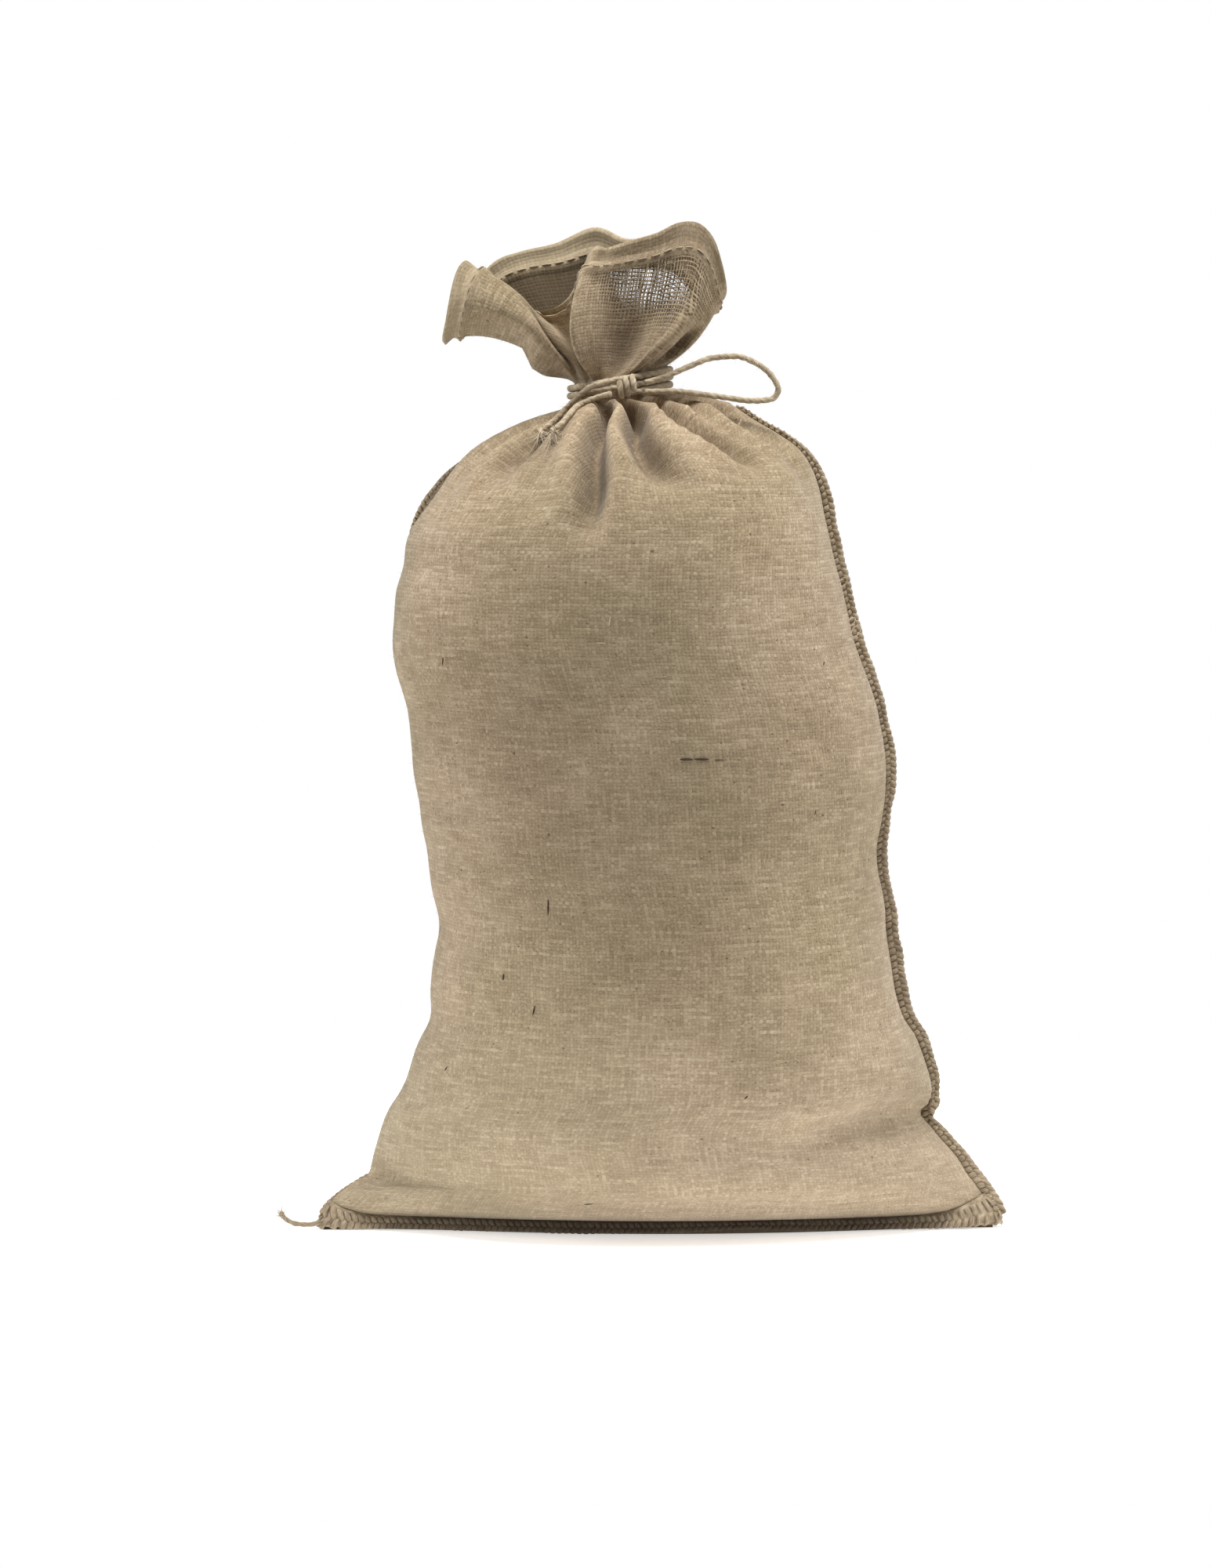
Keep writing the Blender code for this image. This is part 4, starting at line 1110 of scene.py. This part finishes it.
BRAID_COLUMNS = [Column(0.28, 0.22, 1), Column(0.72, 0.20, -1)]

SeamPlace = namedtuple("SeamPlace", "level around reach")
RIGHT_SEAM = [
    SeamPlace(8.8, 0.000, 6.5),
    SeamPlace(13, 0.001, 9.4),
    SeamPlace(32, 0.002, 9.8),
    SeamPlace(60, 0.006, 8.6),
    SeamPlace(88, 0.007, 6.0),
    SeamPlace(110, 0.009, 7.6),
    SeamPlace(155, 0.012, 9.4),
    SeamPlace(210, 0.015, 8.0),
    SeamPlace(280, 0.018, 7.4),
    SeamPlace(430, 0.012, 7.6),
    SeamPlace(465, 0.015, 5.8),
    SeamPlace(500, 0.020, 4.0),
]
LEFT_SEAM = [
    SeamPlace(8.8, 0.493, 3.0),
    SeamPlace(28, 0.455, 4.0),
    SeamPlace(70, 0.430, 7.8),
    SeamPlace(160, 0.425, 7.8),
    SeamPlace(380, 0.438, 7.8),
    SeamPlace(440, 0.462, 7.0),
    SeamPlace(500, 0.480, 5.0),
]
SEAM_WAVES = ((0.04, 9.3, 0.0), (0.03, 4.1, 1.0))  # of its reach: part, length, start
SEAM_DROOP = (0.45, 6.0)                  # how far its foot turns down, and over what height
SEAM_POINTS = 400
SIDE_SHADE = ((15, 45, 75, 400), (0.0, 0.06, 0.20, 0.14))  # heights, and how much painted shade they have
BOTTOM_SEAM_ENDS = (0.501, 0.9992)
BOTTOM_SEAM_LIFT = (0.79, 0.03, 2.6)      # where it is off the floor: around, width, height
BOTTOM_SEAM_OUT = 1.6                     # how far its root stands off the cloth
BOTTOM_SEAM_LEAN = 0.12
FOOT_LEVEL = 6.0
FLOOR_GAP = 0.5
# The bottom seam's top, and its painted shade: dark in the middle under the belly, light at the lit
# corners.
SkirtTop = namedtuple("SkirtTop", "x level soil")
BOTTOM_SEAM_TOP = [
    SkirtTop(-208, 17.0, 0.00),
    SkirtTop(-196, 12.5, 0.00),
    SkirtTop(-180, 8.5, 0.10),
    SkirtTop(-150, 7.5, 0.60),
    SkirtTop(-60, 8.0, 0.82),
    SkirtTop(60, 8.0, 0.82),
    SkirtTop(140, 7.5, 0.74),
    SkirtTop(166, 8.5, 0.42),
    SkirtTop(182, 11.5, 0.06),
    SkirtTop(208, 20.0, 0.00),
]
CORNER_FLARE = (0.5, 192.0, 12.0)         # it spreads at the corners: most, from x, over this
TAIL_ROUTE = [(-207.5, -21.5, 5.0), (-214, -22.5, 3.4), (-222, -24, 4.0),
              (-229, -25, 7.4), (-232, -25, 11.2)]
TAIL_WIDTH = 0.85
TAIL_STRANDS = 46
TAIL_FRAY = (7.0, 0.7)                    # length and spread of its strands


def on_cloth(places):
    """Points and outward directions at (level, around) places, between the nearest columns."""
    places = np.asarray(places, float)
    columns = column_places()
    columns = np.concatenate((columns, [columns[0] + 1]))
    row = np.interp(places[:, 0], level[:, 0], np.arange(len(level)))
    column = np.interp((places[:, 1] - columns[0]) % 1.0 + columns[0], columns, np.arange(COLUMNS + 1))
    low_row = np.minimum(row.astype(int), len(level) - 2)
    low_column = column.astype(int)
    row_part, column_part = (row - low_row)[:, None], (column - low_column)[:, None]
    after = (low_column + 1) % COLUMNS
    low_column = low_column % COLUMNS
    found = []
    for grid in (outer, outward(outer)):
        low = grid[low_row, low_column] * (1 - column_part) + grid[low_row, after] * column_part
        high = grid[low_row + 1, low_column] * (1 - column_part) + grid[low_row + 1, after] * column_part
        found.append(low * (1 - row_part) + high * row_part)
    return found[0], unit(found[1])


def braid(name, root, way, reach, material):
    """The braid of a sewn edge, from its root line out along its way.

    Its core is a flat eight-sided bar. Round it go two coils of yarn, side by side
    and wound opposite ways: each coil is an oval turned along the line, at
    s = pitch t, r = middle + half cos(2 pi t), h = thickness sin(2 pi t).
    """
    length = length_along(root)
    run = unit(np.gradient(root, axis=0))
    face = unit(np.cross(run, way))

    def seat(along, across, off):
        """Points of the braid at s, r (in parts of the reach) and h."""
        wide = np.interp(along, length, reach)
        return (read_at(along, length, root) + read_at(along, length, way) * (across * wide)[..., None]
                + read_at(along, length, face) * off[..., None])

    places = np.linspace(0, length[-1], int(length[-1] / 3))[:, None] * np.ones((1, len(BRAID_BAR)))
    across, off = BRAID_BAR.T
    core = seat(places, across * np.ones_like(places), off * SEAM_CORE / 2 * np.ones_like(places))
    pieces = [skin(f"{name}_core", core[None], tube_uv(core[None, :, 0], len(BRAID_BAR)), material)]
    turns = length[-1] / STITCH_PITCH
    for column in BRAID_COLUMNS:
        turn = np.linspace(0, turns, int(turns * STITCH_STEPS))
        angle = 2 * pi * turn * column.way_round
        wander = sum(part * np.sin(turn * waves) for part, waves in STITCH_WANDER)
        coil = seat(STITCH_PITCH * turn, column.middle + (column.half + 0.3 * wander) * np.cos(angle),
                    (SEAM_CORE / 2 + STITCH_YARN[0] * (0.7 + wander)) * np.sin(angle))
        side = 2 * pi * np.arange(STITCH_SIDES) / STITCH_SIDES
        flat = 1 / np.hypot(np.cos(side) / STITCH_YARN[0], np.sin(side) / STITCH_YARN[1])
        radius = (1 + 2 * wander)[None, :, None] * flat
        runs = read_at(STITCH_PITCH * turn, length, run)
        yarn = tubes(coil[None], radius, runs[None], sides=STITCH_SIDES)
        pieces.append(skin(f"{name}_coil", yarn, tube_uv(coil[None], STITCH_SIDES), material))
    return join(name, pieces)


def ease_line(values, passes):
    """Numbers along a line, smoothed: each becomes (before + 2 itself + after) / 4."""
    for _ in range(passes):
        between = (values[:-2] + 2 * values[1:-1] + values[2:]) / 4
        values = np.concatenate((values[:1], between, values[-1:]))
    return values


def side_root(places):
    """Root line, ways and reaches of a side seam, which points out of the cloth.

    Its ways are level, and turn down towards the floor near its foot.
    """
    fine = pass_through(places, np.linspace(0, len(places) - 1, SEAM_POINTS))
    points, ways = on_cloth(fine[:, :2])
    droop = SEAM_DROOP[0] * np.exp(-(fine[:, :1] - fine[0, 0]) / SEAM_DROOP[1])
    return points, unit(unit(ways * [1, 1, 0]) - droop * UPRIGHT), fine[:, 2]


def mark_shade(piece, axis, places, soil):
    """Mark how much painted shade each point of a piece has, read from values at places along an axis."""
    points = np.empty(3 * len(piece.data.vertices))
    piece.data.vertices.foreach_get("co", points)
    found = np.interp(points[axis::3] / MM + MIDDLE[axis], places, soil)
    piece.data.attributes.new("soil", "FLOAT", "POINT").data.foreach_set("value", found)


seam_yarn = yarn_finish("seam_yarn", SEAM_DARK, SEAM_MIDDLE, SEAM_LIGHT)
for name, places in (("side_seam_right", RIGHT_SEAM), ("side_seam_left", LEFT_SEAM)):
    root, way, reach = side_root(places)
    length = length_along(root)
    uneven = sum(part * np.sin(length / wave + start) for part, wave, start in SEAM_WAVES)
    seam = braid(f"{name}_braid", root, way, reach * (1 + uneven), seam_yarn)
    # painted shade on the side seams, less of it at their lit foot
    mark_shade(seam, 2, *SIDE_SHADE)
    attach(seam, "root")
    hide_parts(name)

lift_around, lift_width, lift_height = BOTTOM_SEAM_LIFT
most_flare, flare_from, flare_over = CORNER_FLARE
bottom_around = np.linspace(*BOTTOM_SEAM_ENDS, SEAM_POINTS)
foot = on_cloth(np.stack((np.full(SEAM_POINTS, FOOT_LEVEL), bottom_around), axis=1))[0]
skirt = np.asarray(BOTTOM_SEAM_TOP, float)
top = ease_line(np.interp(foot[:, 0], skirt[:, 0], skirt[:, 1]), 40)
root, way = on_cloth(np.stack((top, bottom_around), axis=1))
way = unit(way * [1, 1, 0])
lift = lift_height * bell(bottom_around - lift_around, lift_width)
root = root + way * BOTTOM_SEAM_OUT
flare = most_flare * part_of(np.abs(foot[:, :1]) - flare_from, flare_over) ** 2
down = unit(way * BOTTOM_SEAM_LEAN + np.sign(root[:, :1]) * flare * SIDEWAYS - UPRIGHT)
reach = (root[:, 2] - FLOOR_GAP - lift) / -down[:, 2]
bottom_seam = braid("bottom_seam_braid", root, down, reach, seam_yarn)
tail = follow(TAIL_ROUTE)
tail_yarn = twisted("bottom_seam_tail", tail, TOWARDS_FRONT, seam_yarn, TAIL_WIDTH)
fray = tuft("bottom_seam_fray", tail[-4], (-0.5, 0.0, 1.0), TAIL_STRANDS, *TAIL_FRAY, loose_jute, 5)
bottom_seam = join("bottom_seam_braid", [bottom_seam, tail_yarn, fray])
mark_shade(bottom_seam, 0, skirt[:, 0], skirt[:, 2])
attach(bottom_seam, "root")
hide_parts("bottom_seam")

# ---------------------------------------------------------------------------
# The hem's stitches: a running stitch of light jute yarn along the inner edge of the
# turned hem, which shows as short dashes on both of its faces.
HEM_STITCHES = 64
HEM_STITCH_LENGTH = 5.5
HEM_YARN = 0.42                           # its radius
HEM_YARN_ARCH = (0.6, 5.0)                # in radii: its middle stands out, and its ends dive in
HEM_YARN_OUT = 0.15
HEM_YARN_SIDES = 6
STITCH_PLACES = 7                         # rings of a stitch

row = len(plain) - 1 - int(round((HEM_DEPTH - RIDGE_BACK) / MOUTH_LENGTH * MOUTH_RINGS))
out_of_hem = -inward[row]
place = np.linspace(-0.5, 0.5, STITCH_PLACES)[None, :]
lift = (HEM_YARN * (HEM_YARN_ARCH[0] - HEM_YARN_ARCH[1] * place ** 2))[..., None]
dashes = []
for face, rings, normals in ((0, outer, out_of_hem), (1, inner, -out_of_hem)):
    normals = np.concatenate((normals, normals[:1]))
    line = np.concatenate((rings[row], rings[row, :1])) + HEM_YARN_OUT * normals
    length = length_along(line)
    middle = (np.arange(HEM_STITCHES) + 0.5 * face + 0.25) / HEM_STITCHES * length[-1]
    along = middle[:, None] + place * HEM_STITCH_LENGTH
    dashes.append(read_at(along, length, line) + lift * read_at(along, length, normals))
dashes = np.concatenate(dashes)
thickness = HEM_YARN * np.ones(dashes.shape[:2] + (HEM_YARN_SIDES,))
stitches = tubes(dashes, thickness, np.array([0.1, 0.2, 1.0]), sides=HEM_YARN_SIDES)
hem_stitches = skin("hem_stitches", stitches, tube_uv(dashes, HEM_YARN_SIDES), twine_jute)
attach(hem_stitches, "root")

# ---------------------------------------------------------------------------
# Slubs and flecks: short thick places in the yarns of the cloth, most of them dark
# bits of jute bark that were spun in. They lie in the face of the cloth.
Fleck = namedtuple("Fleck", "around level turn length width")
DARK_FLECKS = [
    Fleck(0.775, 296, -1, 8, 1.7),
    Fleck(0.785, 296, -1, 9, 1.5),
    Fleck(0.797, 295.5, 0, 6, 0.7),
    Fleck(0.669, 207, 78, 10, 1.1),
    Fleck(0.628, 163, 80, 4, 1.1),
    Fleck(0.655, 144, 80, 6, 1.0),
    Fleck(0.588, 104, 60, 3, 0.9),
    Fleck(0.610, 352, 70, 5, 0.9),
    Fleck(0.796, 93, 40, 3, 0.9),
    Fleck(0.713, 25, 10, 5, 0.8),
    Fleck(0.870, 262, 80, 3, 0.7),
    Fleck(0.905, 350, 30, 3, 0.7),
    Fleck(0.300, 300, 5, 8, 0.9),
    Fleck(0.180, 150, 80, 6, 0.9),
]
LIGHT_SLUBS = [
    Fleck(0.742, 378, 80, 7, 0.8),
    Fleck(0.735, 365, 0, 6, 0.6),
    Fleck(0.770, 345, 2, 9, 0.6),
    Fleck(0.660, 318, 0, 8, 0.5),
    Fleck(0.830, 235, 88, 10, 0.5),
    Fleck(0.640, 225, 2, 12, 0.5),
    Fleck(0.560, 330, 3, 9, 0.5),
    Fleck(0.850, 180, 0, 9, 0.5),
    Fleck(0.280, 220, 1, 10, 0.6),
]
BARK_DARK = (0.020, 0.013, 0.008, 1.0)
BARK_MIDDLE = (0.050, 0.032, 0.018, 1.0)
BARK_LIGHT = (0.110, 0.075, 0.045, 1.0)
FLECK_RINGS = 9
FLECK_SIDES = 6
FLECK_OUT = 0.05                          # its middle lies this far off the cloth


def flecks(name, places, material):
    """Short tapered yarns laid in the face of the cloth, each turned from level.

    The radius along one is half its width times sqrt(1 - s^2), for s from -1 to 1.
    """
    lines = []
    place = np.linspace(-0.5, 0.5, FLECK_RINGS)
    for fleck in places:
        centre, beside = on_cloth([(fleck.level, fleck.around), (fleck.level, fleck.around + 0.01)])[0]
        per_mm = 0.01 / np.linalg.norm(beside - centre)
        rise = place * fleck.length * np.sin(radians(fleck.turn))
        side = place * fleck.length * np.cos(radians(fleck.turn)) * per_mm
        points, normals = on_cloth(np.stack((fleck.level + rise, fleck.around + side), axis=1))
        lines.append(points + normals * FLECK_OUT)
    lines = np.stack(lines)
    swell = np.sqrt(np.clip(1 - (2 * np.linspace(-0.48, 0.48, FLECK_RINGS)) ** 2, 0.02, 1))
    radius = np.array([fleck.width / 2 for fleck in places])[:, None, None]
    thickness = radius * swell[None, :, None] * np.ones(FLECK_SIDES)
    yarns = tubes(lines, thickness, np.array([0.3, 1.0, 0.2]), sides=FLECK_SIDES)
    return skin(name, yarns, tube_uv(lines, FLECK_SIDES), material)


bark = yarn_finish("jute_bark", BARK_DARK, BARK_MIDDLE, BARK_LIGHT)
for piece in (flecks("bark_flecks", DARK_FLECKS, bark), flecks("light_slubs", LIGHT_SLUBS, twine_jute)):
    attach(piece, "root")

# ---------------------------------------------------------------------------
# Loose fibres: jute sheds fine hairs all over the cloth, and a few broken yarns
# stand in loops where the side seam has rubbed.
CLOTH_HAIRS = 4200
CLOTH_HAIR_LENGTH = 2.8
HAIR_STAND = 0.45                         # how much a hair stands up from the cloth
BROKEN_YARN = 0.32                        # radius
BROKEN_POINTS = 24
BROKEN_SIDES = 5
BROKEN_TURN = (-0.15, 1.15)               # parts of a turn: both ends cross where it leaves the cloth
BROKEN_LEAN = np.array([0.3, 0.0, 1.0])   # the way it runs along the cloth
Broken = namedtuple("Broken", "around level rise size")
BROKEN_YARNS = [
    Broken(0.985, 366, 3.0, 7.0),
    Broken(0.978, 372, 2.2, 5.0),
    Broken(0.975, 396, 2.5, 6.0),
    Broken(0.930, 494, 2.0, 5.0),
]

random = np.random.default_rng(11)
rows = random.integers(6, len(outer) - 2, CLOTH_HAIRS)
columns = random.integers(0, COLUMNS, CLOTH_HAIRS)
normals = outward(outer)[rows, columns]
ways = unit(HAIR_STAND * normals + unit(random.normal(0, 1, (CLOTH_HAIRS, 3))))
ways = ways * np.sign((ways * normals).sum(axis=1, keepdims=True))
fibres.append(hairs("cloth_hairs", outer[rows, columns], ways, CLOTH_HAIR_LENGTH, HAIR_RADIUS,
                    random, loose_jute))
for broken in BROKEN_YARNS:
    foot, normal = [found[0] for found in on_cloth([(broken.level, broken.around)])]
    turn = np.linspace(*BROKEN_TURN, BROKEN_POINTS)[:, None] * 2 * pi
    loop = foot + normal * broken.rise * (1 - np.cos(turn))
    loop = loop + BROKEN_LEAN * broken.size / 2 * np.sin(turn)
    thickness = BROKEN_YARN * np.ones((1, BROKEN_POINTS, BROKEN_SIDES))
    yarn = tubes(loop[None], thickness, np.array([0.0, 1.0, 0.1]), sides=BROKEN_SIDES)
    fibres.append(skin("broken_yarn", yarn, tube_uv(loop[None], BROKEN_SIDES), loose_jute))
loose_fibres = join("loose_fibres", fibres)
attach(loose_fibres, "root")
